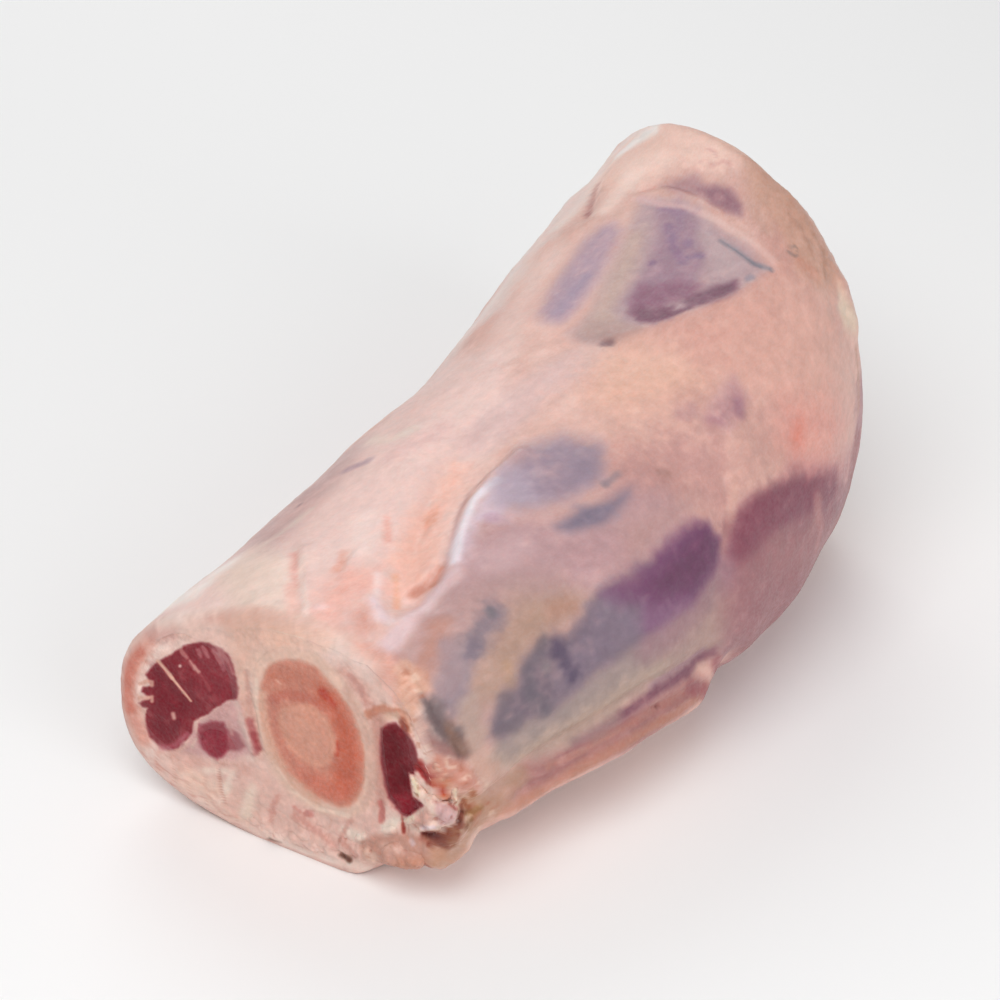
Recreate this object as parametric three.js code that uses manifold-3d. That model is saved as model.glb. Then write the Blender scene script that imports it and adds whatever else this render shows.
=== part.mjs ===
// A raw beef shank on the bone, sawn through at both ends, in millimetres.
// It lies on its side: +X runs along the leg from the narrow cut to the wide one, +Z is up, and -Y is
// the fleshy side of the calf. A cover of fat and silverskin wraps three muscles and the bone, which
// all run through from one cut to the other.
import * as THREE from "three";
import Module from "manifold-3d";

const wasm = await Module();
wasm.setup();
const { Manifold, Mesh } = wasm;

// The leg between its cuts; the wide cut slants, reaching further along on the +Y side.
const NEAR_X = -150;
const FAR_X = 148;
const FAR_SLANT = 0.5;
const NEAR_RIM = 5;
const FAR_RIM = 12;

// The clearance round everything that sits inside something else.
const GAP = 0.3;

// The outer form: at each place along the leg, how far it reaches to +Y and to -Y, the height of its
// top and of its widest level, and the height of its underside (below zero where it is pressed flat).
const OUTER = [
  { x: -150, left: 95, right: 42, top: 97, widest: 41, under: -2 },
  { x: -120, left: 86, right: 50, top: 103, widest: 44, under: -4 },
  { x: -85, left: 82, right: 60, top: 110, widest: 47, under: -6 },
  { x: -40, left: 79, right: 72, top: 117, widest: 50, under: -7 },
  { x: 10, left: 81, right: 78, top: 123, widest: 53, under: -7 },
  { x: 55, left: 89, right: 79, top: 129, widest: 55, under: -7 },
  { x: 100, left: 98, right: 74, top: 135, widest: 57, under: -5 },
  { x: 148, left: 104, right: 56, top: 141, widest: 60, under: -3 },
];
const ROUND_TOP = 2.35;
const ROUND_UNDER_LEFT = 3.1;
const ROUND_UNDER_RIGHT = 1.9;

// Folds, furrows and swellings of the surface, each drawn from place to place as (x, degrees round the
// leg: 0 is -Y, 90 is up). Half is the half width in millimetres; height is how far it stands out.
const RELIEF = [
  { name: "furrow beside the calf", half: 10, height: -3, path: [[-120, 82], [-98, 92], [-76, 97], [-55, 100]] },
  { name: "edge of the calf", half: 9, height: 2, path: [[-118, 65], [-98, 75], [-74, 81], [-52, 83]] },
  { name: "hollow at the foot of the calf", half: 9, height: -2.5, path: [[-124, 84], [-118, 76]] },
  { name: "swelling of the calf", half: 26, height: 2.5, path: [[-75, 60], [-30, 54]] },
  { name: "upper window", half: 22, height: -2.4, path: [[52, 84], [70, 100], [88, 92]] },
  { name: "fold above the window", half: 8, height: -2, path: [[112, 147], [94, 139], [78, 132]] },
  { name: "step under the window", half: 8, height: 1.8, path: [[28, 90], [48, 76], [84, 64]] },
  { name: "shoulder of the shin", half: 20, height: 2, path: [[45, 142], [105, 142]] },
  { name: "valley between the muscles", half: 8, height: -2.2, path: [[20, 42], [4, 29], [-8, 16]] },
  { name: "groove above the flap", half: 6, height: -3.5, path: [[-20, -4], [-55, 0], [-99, -1], [-128, -4]] },
  { name: "flap along the table", half: 9, height: 4, path: [[-16, -21], [-44, -16], [-77, -14], [-104, -17], [-118, -19]] },
  { name: "notch where the flap ends", half: 8, height: -2.5, path: [[5, -14], [10, -25]] },
  { name: "rise under the near corner", half: 15, height: -7.5, path: [[-152, -48], [-150, -68]] },
  { name: "soft corner of the near rim", half: 14, height: -3.5, path: [[-152, 158], [-148, 138]] },
  { name: "torn fat at the rim", half: 6, height: 3, path: [[-146, -6], [-146, -14]] },
  { name: "lump at the low corner", half: 7, height: 4, path: [[-145, -35], [-139, -28]] },
  { name: "dry fat at the corner", half: 6, height: 2.5, path: [[-142, 14], [-134, 8]] },
  { name: "gap between the torn lumps", half: 5, height: -3.5, path: [[-147, 4], [-138, -4]] },
  { name: "lip of the far rim", half: 6, height: 2.5, path: [[140, 50], [140, 40]] },
  { name: "flat of the far rim", half: 14, height: -3, path: [[144, 86], [146, 66]] },
];

// Lumps and pits of the near cut itself, in (y, z) with a radius; height stands out of the cut.
const CUT_RELIEF = [
  { y: -33, z: 50, radius: 5, height: 3 },
  { y: -31, z: 37, radius: 6, height: 4 },
  { y: -38, z: 42, radius: 5, height: 3 },
  { y: -36, z: 31, radius: 4, height: -4 },
  { y: -34, z: 22, radius: 6, height: 3 },
  { y: -20, z: 22, radius: 7, height: 2 },
  { y: 6, z: 13, radius: 7, height: 1.6 },
  { y: 28, z: 14, radius: 8, height: 1.4 },
  { y: 50, z: 15, radius: 8, height: 1.8 },
  { y: 80, z: 70, radius: 9, height: -1.5 },
];

// What runs through the leg. At each place: the middle in (y, z), the half sizes, and the tilt in
// degrees that leans the top towards +Y. Dents are cut into the outline at an angle from +Y.
const BONE = {
  sides: 26,
  roundness: 2.2,
  rows: [
    { x: -150, y: 10.5, z: 56.5, halfY: 24.5, halfZ: 31.5, tilt: 12 },
    { x: -90, y: 14, z: 57, halfY: 21, halfZ: 26, tilt: 10 },
    { x: 0, y: 24, z: 58, halfY: 20, halfZ: 22, tilt: 4 },
    { x: 90, y: 34, z: 59, halfY: 22, halfZ: 23, tilt: 0 },
    { x: 148, y: 38, z: 60, halfY: 24, halfZ: 25, tilt: -6 },
  ],
};
const SPONGY = {
  sides: 22,
  roundness: 2.2,
  rows: [
    { x: -150, y: 10.8, z: 56.3, halfY: 20, halfZ: 27, tilt: 12 },
    { x: -90, y: 14, z: 57, halfY: 16.5, halfZ: 21, tilt: 10 },
    { x: 0, y: 24, z: 58, halfY: 15, halfZ: 17, tilt: 4 },
    { x: 90, y: 34, z: 59, halfY: 16.5, halfZ: 17.5, tilt: 0 },
    { x: 148, y: 38, z: 60, halfY: 18, halfZ: 19, tilt: -6 },
  ],
};
const MARROW = {
  sides: 18,
  roundness: 2,
  rows: [
    { x: -150, y: 13, z: 55.5, halfY: 9.5, halfZ: 11, tilt: 10 },
    { x: 0, y: 24, z: 58, halfY: 10, halfZ: 11, tilt: 4 },
    { x: 148, y: 38, z: 60, halfY: 12.5, halfZ: 13.5, tilt: -6 },
  ],
};
const LEFT_MUSCLE = {
  sides: 26,
  roundness: 2.3,
  dents: [{ angle: 212, width: 34, depth: 9.5 }],
  rows: [
    { x: -150, y: 64, z: 50, halfY: 18, halfZ: 27, tilt: -22 },
    { x: -90, y: 59, z: 58, halfY: 16, halfZ: 28, tilt: -20 },
    { x: 0, y: 60, z: 68, halfY: 12.5, halfZ: 31, tilt: -18 },
    { x: 90, y: 70, z: 74, halfY: 14, halfZ: 33, tilt: -18 },
    { x: 148, y: 73, z: 76, halfY: 13.5, halfZ: 31, tilt: -20 },
  ],
};
const SMALL_MUSCLE = {
  sides: 20,
  roundness: 2.2,
  rows: [
    { x: -150, y: 50.5, z: 33.5, halfY: 7, halfZ: 7, tilt: 0 },
    { x: -90, y: 45, z: 24, halfY: 11, halfZ: 8, tilt: -8 },
    { x: 0, y: 40, z: 20, halfY: 22, halfZ: 9, tilt: -6 },
    { x: 148, y: 32, z: 22, halfY: 30, halfZ: 8.5, tilt: 0 },
  ],
};
const RIGHT_MUSCLE = {
  sides: 24,
  roundness: 2.5,
  rows: [
    { x: -150, y: -23.5, z: 54, halfY: 6, halfZ: 17.5, tilt: 8 },
    { x: -90, y: -30, z: 56, halfY: 14, halfZ: 26, tilt: 8 },
    { x: 0, y: -28, z: 64, halfY: 26, halfZ: 38, tilt: 8 },
    { x: 90, y: -21, z: 71, halfY: 27, halfZ: 43, tilt: 6 },
    { x: 148, y: -14, z: 74, halfY: 23, halfZ: 42, tilt: 6 },
  ],
};

const radians = THREE.MathUtils.degToRad;

const bell = (distance, half) => Math.exp(-((distance / half) ** 2));

// A smooth curve through the rows of a table, read at x.
function readAlong(rows, key, x) {
  const last = rows.length - 1;
  const slope = (j) => {
    const a = rows[Math.max(j - 1, 0)];
    const b = rows[Math.min(j + 1, last)];
    return (b[key] - a[key]) / (b.x - a.x);
  };
  const after = rows.findIndex((row) => row.x > x);
  const k = after < 0 ? last - 1 : Math.max(after - 1, 0);
  const [a, b] = [rows[k], rows[k + 1]];
  const h = b.x - a.x;
  const t = (x - a.x) / h;
  return (
    a[key] * (1 + 2 * t) * (1 - t) ** 2 +
    slope(k) * h * t * (1 - t) ** 2 +
    b[key] * t * t * (3 - 2 * t) +
    slope(k + 1) * h * t * t * (t - 1)
  );
}

// Sections stand square to the leg at the near cut and lean over more and more towards the far one.
function leaned(x, y) {
  const t = Math.min(Math.max((x - NEAR_X) / (FAR_X - NEAR_X), 0), 1);
  return x + FAR_SLANT * t * t * (3 - 2 * t) * y;
}

function superellipse(angle, halfAcross, halfUp, power) {
  const c = Math.abs(Math.cos(angle)) / halfAcross;
  const s = Math.abs(Math.sin(angle)) / halfUp;
  return (c ** power + s ** power) ** (-1 / power);
}

// The distance from (x, angle) to a line drawn on the surface, unrolled at a middling radius.
const UNROLL_RADIUS = 72;
function distanceToPath(x, angle, path) {
  const around = (a) => radians(a) * UNROLL_RADIUS;
  const turn = 2 * Math.PI * UNROLL_RADIUS;
  let best = Infinity;
  for (let i = 0; i + 1 < path.length; i++) {
    const [ax, ay] = [path[i][0], around(path[i][1])];
    const [bx, by] = [path[i + 1][0], around(path[i + 1][1])];
    let py = angle * UNROLL_RADIUS;
    py -= turn * Math.round((py - (ay + by) / 2) / turn);
    const [dx, dy] = [bx - ax, by - ay];
    const along = ((x - ax) * dx + (py - ay) * dy) / (dx * dx + dy * dy);
    const t = Math.min(Math.max(along, 0), 1);
    best = Math.min(best, Math.hypot(x - ax - t * dx, py - ay - t * dy));
  }
  return best;
}

// Slow uneven swells keep the broad faces from looking turned on a lathe.
function swell(x, angle) {
  return (
    0.6 * Math.sin(x / 17 + 2 * angle) +
    0.5 * Math.sin(x / 11 - 3 * angle + 1.3) +
    0.35 * Math.sin(x / 7.5 + 5 * angle + 0.4)
  );
}

function reliefAt(x, angle) {
  let height = swell(x, angle);
  for (const line of RELIEF) height += line.height * bell(distanceToPath(x, angle, line.path), line.half);
  return height;
}

function rimInset(distance, radius) {
  if (distance >= radius) return 0;
  return radius - Math.sqrt(radius ** 2 - (radius - distance) ** 2);
}

function outerPoint(x, angle) {
  const at = (key) => readAlong(OUTER, key, x);
  const [c, s] = [Math.cos(angle), Math.sin(angle)];
  const across = c > 0 ? at("right") : at("left");
  const up = s > 0 ? at("top") - at("widest") : at("widest") - at("under");
  const underPower = c > 0 ? ROUND_UNDER_RIGHT : ROUND_UNDER_LEFT;
  const inset = rimInset(x - NEAR_X, NEAR_RIM) + rimInset(FAR_X - x, FAR_RIM);
  const r = superellipse(angle, across, up, s > 0 ? ROUND_TOP : underPower) - inset + reliefAt(x, angle);
  return new THREE.Vector3(leaned(x, -r * c), -r * c, Math.max(at("widest") + r * s, 0));
}

// A closed skin over rings of points, from the near end to the far one.
function skin(rings) {
  const n = rings[0].length;
  const last = rings.length - 1;
  const middle = (ring) => ring.reduce((sum, p) => sum.add(p), new THREE.Vector3()).divideScalar(n);
  const points = rings.flat().concat([middle(rings[0]), middle(rings[last])]);
  const id = (i, j) => i * n + (j % n);
  const faces = [];
  for (let i = 0; i < last; i++) {
    for (let j = 0; j < n; j++) {
      faces.push(id(i, j + 1), id(i, j), id(i + 1, j));
      faces.push(id(i, j + 1), id(i + 1, j), id(i + 1, j + 1));
    }
  }
  for (let j = 0; j < n; j++) {
    faces.push(id(0, j), id(0, j + 1), points.length - 2);
    faces.push(id(last, j + 1), id(last, j), points.length - 1);
  }
  const vertProperties = new Float32Array(points.flatMap((p) => [p.x, p.y, p.z]));
  return new Manifold(new Mesh({ numProp: 3, vertProperties, triVerts: new Uint32Array(faces) }));
}

// Places along the leg: close together at the rims, wider between.
function outerPlaces() {
  const places = [0, 0.8, 2.2, 4, 6.5, 9.5, 13.5, 19].map((d) => NEAR_X + d);
  const farPlaces = [15, 11, 7.5, 4.5, 2, 0.6, 0].map((d) => FAR_X - d);
  const step = 8;
  for (let x = places.at(-1) + step; x < farPlaces[0] - step / 2; x += step) places.push(x);
  return places.concat(farPlaces);
}

// Angles round the leg: closest together where the fat is torn, low on the -Y side.
const OUTER_SIDES = 56;
const CROWDED_ANGLE = radians(-20);
function outerAngles() {
  const even = Array.from({ length: OUTER_SIDES }, (_, j) => (2 * Math.PI * j) / OUTER_SIDES);
  return even.map((u) => u - 0.35 * Math.sin(u - CROWDED_ANGLE));
}

function cutReliefAt(y, z) {
  let height = 0.35 * Math.sin(y / 4.1 + z / 6.3) + 0.35 * Math.sin(z / 3.7 - y / 7.9);
  for (const lump of CUT_RELIEF) height += lump.height * bell(Math.hypot(y - lump.y, z - lump.z), lump.radius);
  return height;
}

function outerForm() {
  const angles = outerAngles();
  const wall = outerPlaces().map((x) => angles.map((angle) => outerPoint(x, angle)));
  const shrunk = (ring, share) => {
    const middle = ring.reduce((sum, p) => sum.add(p), new THREE.Vector3()).divideScalar(ring.length);
    return ring.map((p) => p.clone().lerp(middle, 1 - share));
  };
  const nearCap = [0.2, 0.42, 0.62, 0.77, 0.88, 0.955].map((share) =>
    shrunk(wall[0], share).map((p) => {
      const ease = Math.min((1 - share) / 0.08, 1);
      return new THREE.Vector3(p.x - ease * cutReliefAt(p.y, p.z), p.y, p.z);
    }),
  );
  return skin([...nearCap, ...wall]);
}

// One of the runs through the leg. Grow widens it, ends is how far it stands out of both cuts, and
// dome swells its ends instead.
const RUN_STEPS = 7;
function run(shape, { grow = 0, ends = 0, dome = 0 } = {}) {
  const ringAt = (x, shift, share = 1) => {
    const at = (key) => readAlong(shape.rows, key, x);
    const tilt = radians(at("tilt"));
    return Array.from({ length: shape.sides }, (_, j) => {
      const angle = (-2 * Math.PI * j) / shape.sides;
      let r = superellipse(angle, at("halfY"), at("halfZ"), shape.roundness);
      for (const dent of shape.dents ?? []) {
        const off = THREE.MathUtils.euclideanModulo((-angle * 180) / Math.PI + dent.angle + 180, 360) - 180;
        r -= dent.depth * bell(off, dent.width);
      }
      r = share * (r + grow);
      const [u, v] = [r * Math.cos(angle), r * Math.sin(angle)];
      const y = at("y") + u * Math.cos(tilt) + v * Math.sin(tilt);
      const z = at("z") - u * Math.sin(tilt) + v * Math.cos(tilt);
      return new THREE.Vector3(leaned(x, y) + shift, y, z);
    });
  };
  const rings = [];
  for (let i = 0; i <= RUN_STEPS; i++) rings.push(ringAt(NEAR_X + ((FAR_X - NEAR_X) * i) / RUN_STEPS, 0));
  if (ends) {
    rings.unshift(ringAt(NEAR_X, -ends));
    rings.push(ringAt(FAR_X, ends));
  }
  if (dome) {
    rings.unshift(ringAt(NEAR_X, -dome, 0.35), ringAt(NEAR_X, -0.75 * dome, 0.75));
    rings.push(ringAt(FAR_X, 0.75 * dome, 0.75), ringAt(FAR_X, dome, 0.35));
  }
  return skin(rings);
}

const THROUGH = { grow: GAP, ends: 12 };
const channelFor = (shape) => run(shape, THROUGH);

const cover = [BONE, LEFT_MUSCLE, SMALL_MUSCLE, RIGHT_MUSCLE].reduce(
  (solid, shape) => solid.subtract(channelFor(shape)),
  outerForm(),
);
const solids = {
  fat_cover: { solid: cover, color: 0xe4b5a6, roughness: 0.45 },
  bone: {
    solid: run(BONE, { ends: 0.8 }).subtract(channelFor(SPONGY)),
    color: 0xeed3bd,
    roughness: 0.5,
  },
  spongy_bone: {
    solid: run(SPONGY, { ends: 0.3 }).subtract(channelFor(MARROW)),
    color: 0xc56b5e,
    roughness: 0.55,
  },
  marrow: { solid: run(MARROW, { dome: 0.8 }), color: 0xd69b89, roughness: 0.5 },
  left_muscle: { solid: run(LEFT_MUSCLE, { dome: 1.4 }), color: 0x813941, roughness: 0.4 },
  small_muscle: { solid: run(SMALL_MUSCLE, { dome: 0.9 }), color: 0x813941, roughness: 0.4 },
  right_muscle: { solid: run(RIGHT_MUSCLE, { dome: 1 }), color: 0x6b232b, roughness: 0.4 },
};

function meshOf(name, { solid, color, roughness }) {
  const { vertProperties, triVerts, numProp } = solid.getMesh();
  const geometry = new THREE.BufferGeometry();
  const points = new Float32Array((vertProperties.length / numProp) * 3);
  for (let i = 0; i < points.length / 3; i++) {
    for (let k = 0; k < 3; k++) points[3 * i + k] = vertProperties[numProp * i + k];
  }
  geometry.setAttribute("position", new THREE.BufferAttribute(points, 3));
  geometry.setIndex(new THREE.BufferAttribute(triVerts, 1));
  const mesh = new THREE.Mesh(geometry, new THREE.MeshStandardMaterial({ color, roughness }));
  mesh.name = name;
  return mesh;
}

// The origin goes under the middle of the whole.
const shank = new THREE.Group();
for (const [name, entry] of Object.entries(solids)) shank.add(meshOf(name, entry));
const box = new THREE.Box3().setFromObject(shank);
const middle = box.getCenter(new THREE.Vector3());
for (const mesh of shank.children) mesh.geometry.translate(-middle.x, -middle.y, -box.min.z);

export default shank;
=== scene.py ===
"""A raw beef shank on the bone, lying on its side under soft studio light."""
import math

import bmesh
import bpy
import numpy as np
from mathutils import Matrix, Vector


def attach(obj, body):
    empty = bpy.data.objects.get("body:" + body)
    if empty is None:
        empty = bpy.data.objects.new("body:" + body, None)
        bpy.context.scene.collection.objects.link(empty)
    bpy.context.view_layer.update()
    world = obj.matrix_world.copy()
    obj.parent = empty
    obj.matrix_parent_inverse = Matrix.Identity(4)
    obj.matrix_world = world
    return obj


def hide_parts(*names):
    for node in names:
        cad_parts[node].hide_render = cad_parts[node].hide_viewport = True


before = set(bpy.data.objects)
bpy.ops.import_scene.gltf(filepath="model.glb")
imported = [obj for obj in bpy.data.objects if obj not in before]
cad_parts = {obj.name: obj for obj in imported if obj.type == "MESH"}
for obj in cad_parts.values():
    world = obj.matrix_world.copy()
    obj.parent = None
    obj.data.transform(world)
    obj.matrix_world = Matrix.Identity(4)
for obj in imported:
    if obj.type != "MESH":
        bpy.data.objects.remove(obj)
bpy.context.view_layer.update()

# ------------------------------------------------------------------ the leg's form, in millimetres
# The same named sizes as the solids. Angles go round the leg: 0 is -Y, 90 is up, 180 is +Y.
MM = 0.001
NEAR_X = -150.0
FAR_X = 148.0
FAR_SLANT = 0.5
NEAR_RIM = 5.0
FAR_RIM = 12.0
UNROLL_RADIUS = 72.0
LEG_MIDDLE = np.array([20.68, 11.81, 0.0])
FULL_TURN = 2 * math.pi

OUTER = {
    "x": [-150, -120, -85, -40, 10, 55, 100, 148],
    "left": [95, 86, 82, 79, 81, 89, 98, 104],
    "right": [42, 50, 60, 72, 78, 79, 74, 56],
    "top": [97, 103, 110, 117, 123, 129, 135, 141],
    "widest": [41, 44, 47, 50, 53, 55, 57, 60],
    "under": [-2, -4, -6, -7, -7, -7, -5, -3],
}
ROUND_TOP = 2.35
ROUND_UNDER_LEFT = 3.1
ROUND_UNDER_RIGHT = 1.9

# Large relief: half width, height, path of (x, degrees).
RELIEF = [
    (10, -3.0, [(-120, 82), (-98, 92), (-76, 97), (-55, 100)]),
    (9, 2.0, [(-118, 65), (-98, 75), (-74, 81), (-52, 83)]),
    (9, -2.5, [(-124, 84), (-118, 76)]),
    (26, 2.5, [(-75, 60), (-30, 54)]),
    (22, -2.4, [(52, 84), (70, 100), (88, 92)]),
    (8, -2.0, [(112, 147), (94, 139), (78, 132)]),
    (8, 1.8, [(28, 90), (48, 76), (84, 64)]),
    (20, 2.0, [(45, 142), (105, 142)]),
    (8, -2.2, [(20, 42), (4, 29), (-8, 16)]),
    (6, -3.5, [(-20, -4), (-55, 0), (-99, -1), (-128, -4)]),
    (9, 4.0, [(-16, -21), (-44, -16), (-77, -14), (-104, -17), (-118, -19)]),
    (8, -2.5, [(5, -14), (10, -25)]),
    (15, -7.5, [(-152, -48), (-150, -68)]),
    (14, -3.5, [(-152, 158), (-148, 138)]),
    (6, 3.0, [(-146, -6), (-146, -14)]),
    (7, 4.0, [(-145, -35), (-139, -28)]),
    (6, 2.5, [(-142, 14), (-134, 8)]),
    (5, -3.5, [(-147, 4), (-138, -4)]),
    (6, 2.5, [(140, 50), (140, 40)]),
    (14, -3.0, [(144, 86), (146, 66)]),
]

# Slow swells all over: height, length along the leg in mm, waves round it, phase.
SWELLS = [(0.6, 17, 2, 0.0), (0.5, 11, -3, 1.3), (0.35, 7.5, 5, 0.4)]

# What runs through the leg: an oval at each station, its middle, half sizes and tilt in degrees.
# A dent has its middle and its half width in degrees, and a depth.
RUNS = {
    "bone": {
        "roundness": 2.2, "x": [-150, -90, 0, 90, 148],
        "y": [10.5, 14, 24, 34, 38], "z": [56.5, 57, 58, 59, 60],
        "halfY": [24.5, 21, 20, 22, 24], "halfZ": [31.5, 26, 22, 23, 25],
        "tilt": [12, 10, 4, 0, -6],
    },
    "spongy_bone": {
        "roundness": 2.2, "x": [-150, -90, 0, 90, 148],
        "y": [10.8, 14, 24, 34, 38], "z": [56.3, 57, 58, 59, 60],
        "halfY": [20, 16.5, 15, 16.5, 18], "halfZ": [27, 21, 17, 17.5, 19],
        "tilt": [12, 10, 4, 0, -6],
    },
    "marrow": {
        "roundness": 2.0, "x": [-150, 0, 148],
        "y": [13, 24, 38], "z": [55.5, 58, 60],
        "halfY": [9.5, 10, 12.5], "halfZ": [11, 11, 13.5], "tilt": [10, 4, -6],
    },
    "left_muscle": {
        "roundness": 2.3, "dents": [(212, 34, 9.5)], "x": [-150, -90, 0, 90, 148],
        "y": [64, 59, 60, 70, 73], "z": [50, 58, 68, 74, 76],
        "halfY": [18, 16, 12.5, 14, 13.5], "halfZ": [27, 28, 31, 33, 31],
        "tilt": [-22, -20, -18, -18, -20],
    },
    "small_muscle": {
        "roundness": 2.2, "x": [-150, -90, 0, 148],
        "y": [50.5, 45, 40, 32], "z": [33.5, 24, 20, 22],
        "halfY": [7, 11, 22, 30], "halfZ": [7, 8, 9, 8.5], "tilt": [0, -8, -6, 0],
    },
    "right_muscle": {
        "roundness": 2.5, "x": [-150, -90, 0, 90, 148],
        "y": [-23.5, -30, -28, -21, -14], "z": [54, 56, 64, 71, 74],
        "halfY": [6, 14, 26, 27, 23], "halfZ": [17.5, 26, 38, 43, 42], "tilt": [8, 8, 8, 6, 6],
    },
}


def smoothstep(low, high, value):
    t = np.clip((value - low) / (high - low), 0.0, 1.0)
    return t * t * (3.0 - 2.0 * t)


def bell(distance, half):
    return np.exp(-((distance / half) ** 2))


def read_along(table, key, x):
    """A smooth curve through the table's values, read at x."""
    xs = np.asarray(table["x"], float)
    values = np.asarray(table[key], float)
    before = np.maximum(np.arange(len(xs)) - 1, 0)
    after = np.minimum(np.arange(len(xs)) + 1, len(xs) - 1)
    slope = (values[after] - values[before]) / (xs[after] - xs[before])
    k = np.clip(np.searchsorted(xs, x, side="right") - 1, 0, len(xs) - 2)
    h = xs[k + 1] - xs[k]
    t = (x - xs[k]) / h
    return (values[k] * (1 + 2 * t) * (1 - t) ** 2 + slope[k] * h * t * (1 - t) ** 2
            + values[k + 1] * t * t * (3 - 2 * t) + slope[k + 1] * h * t * t * (t - 1))


def slant(x):
    """How much a station leans toward the wide cut's slant."""
    return FAR_SLANT * smoothstep(NEAR_X, FAR_X, x)


def slanted(x, y, z):
    """Points on slanted stations."""
    return np.stack([x + slant(x) * y, y, z], -1)


def superellipse(angle, half_across, half_up, power):
    c = np.abs(np.cos(angle)) / half_across
    s = np.abs(np.sin(angle)) / half_up
    return (c ** power + s ** power) ** (-1.0 / power)


def distance_to_path(u, v, path):
    """How far each (u, v) is from a line through the path's points."""
    best = np.full(np.shape(u), np.inf)
    for (ax, ay), (bx, by) in zip(path[:-1], path[1:]):
        dx, dy = bx - ax, by - ay
        t = np.clip(((u - ax) * dx + (v - ay) * dy) / (dx * dx + dy * dy + 1e-9), 0.0, 1.0)
        best = np.minimum(best, np.hypot(u - ax - t * dx, v - ay - t * dy))
    return best


def distance_inside(u, v, outline):
    """How deep each (u, v) lies inside a closed outline; negative outside."""
    edge = distance_to_path(u, v, outline + outline[:1])
    odd = np.zeros(np.shape(u), bool)
    for (ax, ay), (bx, by) in zip(outline, outline[1:] + outline[:1]):
        crosses = (ay > v) != (by > v)
        odd ^= crosses & (u < (bx - ax) * (v - ay) / (by - ay + 1e-12) + ax)
    return np.where(odd, edge, -edge)


def large_relief(x, angle):
    height = sum(tall * np.sin(x / length + waves * angle + phase)
                 for tall, length, waves, phase in SWELLS)
    circumference = FULL_TURN * UNROLL_RADIUS
    for half, tall, path in RELIEF:
        unrolled = [(px, math.radians(degrees) * UNROLL_RADIUS) for px, degrees in path]
        middle = sum(p[1] for p in unrolled) / len(unrolled)
        v = angle * UNROLL_RADIUS
        v = v - circumference * np.round((v - middle) / circumference)
        height = height + tall * bell(distance_to_path(x, v, unrolled), half)
    return height


def rim_inset(distance, radius):
    """How far a rounded rim draws in at a distance from the cut."""
    held = np.clip(radius - distance, 0.0, radius)
    return radius - np.sqrt(radius ** 2 - held ** 2)


def outer_radius(x, angle):
    """The distance from the leg's middle line to its skin, without the rims' rounding."""
    c, s = np.cos(angle), np.sin(angle)
    across = np.where(c > 0, read_along(OUTER, "right", x), read_along(OUTER, "left", x))
    widest = read_along(OUTER, "widest", x)
    up = np.where(s > 0, read_along(OUTER, "top", x) - widest,
                  widest - read_along(OUTER, "under", x))
    under = np.where(c > 0, ROUND_UNDER_RIGHT, ROUND_UNDER_LEFT)
    power = np.where(s > 0, ROUND_TOP, under)
    return superellipse(angle, across, up, power) + large_relief(x, angle)


def outer_points(x, angle, extra=0.0):
    """The skin's points, the underside pressed flat, with extra millimetres outward."""
    inset = rim_inset(x - NEAR_X, NEAR_RIM) + rim_inset(FAR_X - x, FAR_RIM)
    r = outer_radius(x, angle) - inset + extra
    z = np.maximum(read_along(OUTER, "widest", x) + r * np.sin(angle), 0.0)
    return slanted(x, -r * np.cos(angle), z)


def run_ring(name, x, angle, grow=0.0):
    """One section of what runs through the leg, as (y, z)."""
    run = RUNS[name]
    half_y, half_z = read_along(run, "halfY", x), read_along(run, "halfZ", x)
    radius = superellipse(angle, half_y, half_z, run["roundness"])
    for toward, width, depth in run.get("dents", []):
        off = (np.degrees(angle) - toward + 180.0) % 360.0 - 180.0
        radius = radius - depth * bell(off, width)
    radius = radius + grow
    u, v = radius * np.cos(angle), radius * np.sin(angle)
    tilt = np.radians(read_along(run, "tilt", x))
    y = read_along(run, "y", x) + u * np.cos(tilt) + v * np.sin(tilt)
    z = read_along(run, "z", x) - u * np.sin(tilt) + v * np.cos(tilt)
    return y, z


def even_turn(sides):
    return FULL_TURN * np.arange(sides) / sides


# ------------------------------------------------------------------ noise, the same on every run
# Sizes are in mm, and a seed picks one pattern out of many.
def scrambled(i, j, k, seed):
    """Whole numbers from 0 to 2 ** 32 - 1 that look random, one for each cell."""
    h = (i * 73856093) ^ (j * 19349663) ^ (k * 83492791) ^ (seed * 26544357)
    h = h & 0xFFFFFFFF
    h = ((h ^ (h >> 13)) * 0x5BD1E995) & 0xFFFFFFFF
    return ((h ^ (h >> 15)) * 0x27D4EB2D) & 0xFFFFFFFF


def lattice_noise(points, size, seed):
    """Smooth noise from -1 to 1 with features of about the given size."""
    p = np.asarray(points, float) / size
    cell = np.floor(p).astype(np.int64)
    f = p - cell
    f = f * f * f * (f * (f * 6 - 15) + 10)
    total = np.zeros(p.shape[:-1])
    for corner in range(8):
        step = [(corner >> k) & 1 for k in range(3)]
        h = scrambled(*(cell[..., a] + step[a] for a in range(3)), seed)
        value = ((h ^ (h >> 16)) & 0xFFFFFF) / float(0x7FFFFF) - 1.0
        weight = np.ones(p.shape[:-1])
        for a in range(3):
            weight = weight * (f[..., a] if step[a] else 1.0 - f[..., a])
        total += weight * value
    return total


def rough_noise(points, size, seed, octaves=3):
    """Layers of noise, each finer and weaker than the last."""
    total, scale = 0.0, 1.0
    for octave in range(octaves):
        total = total + scale * lattice_noise(points, size / 2 ** octave, seed + 17 * octave)
        scale *= 0.55
    return total / 1.6


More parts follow.
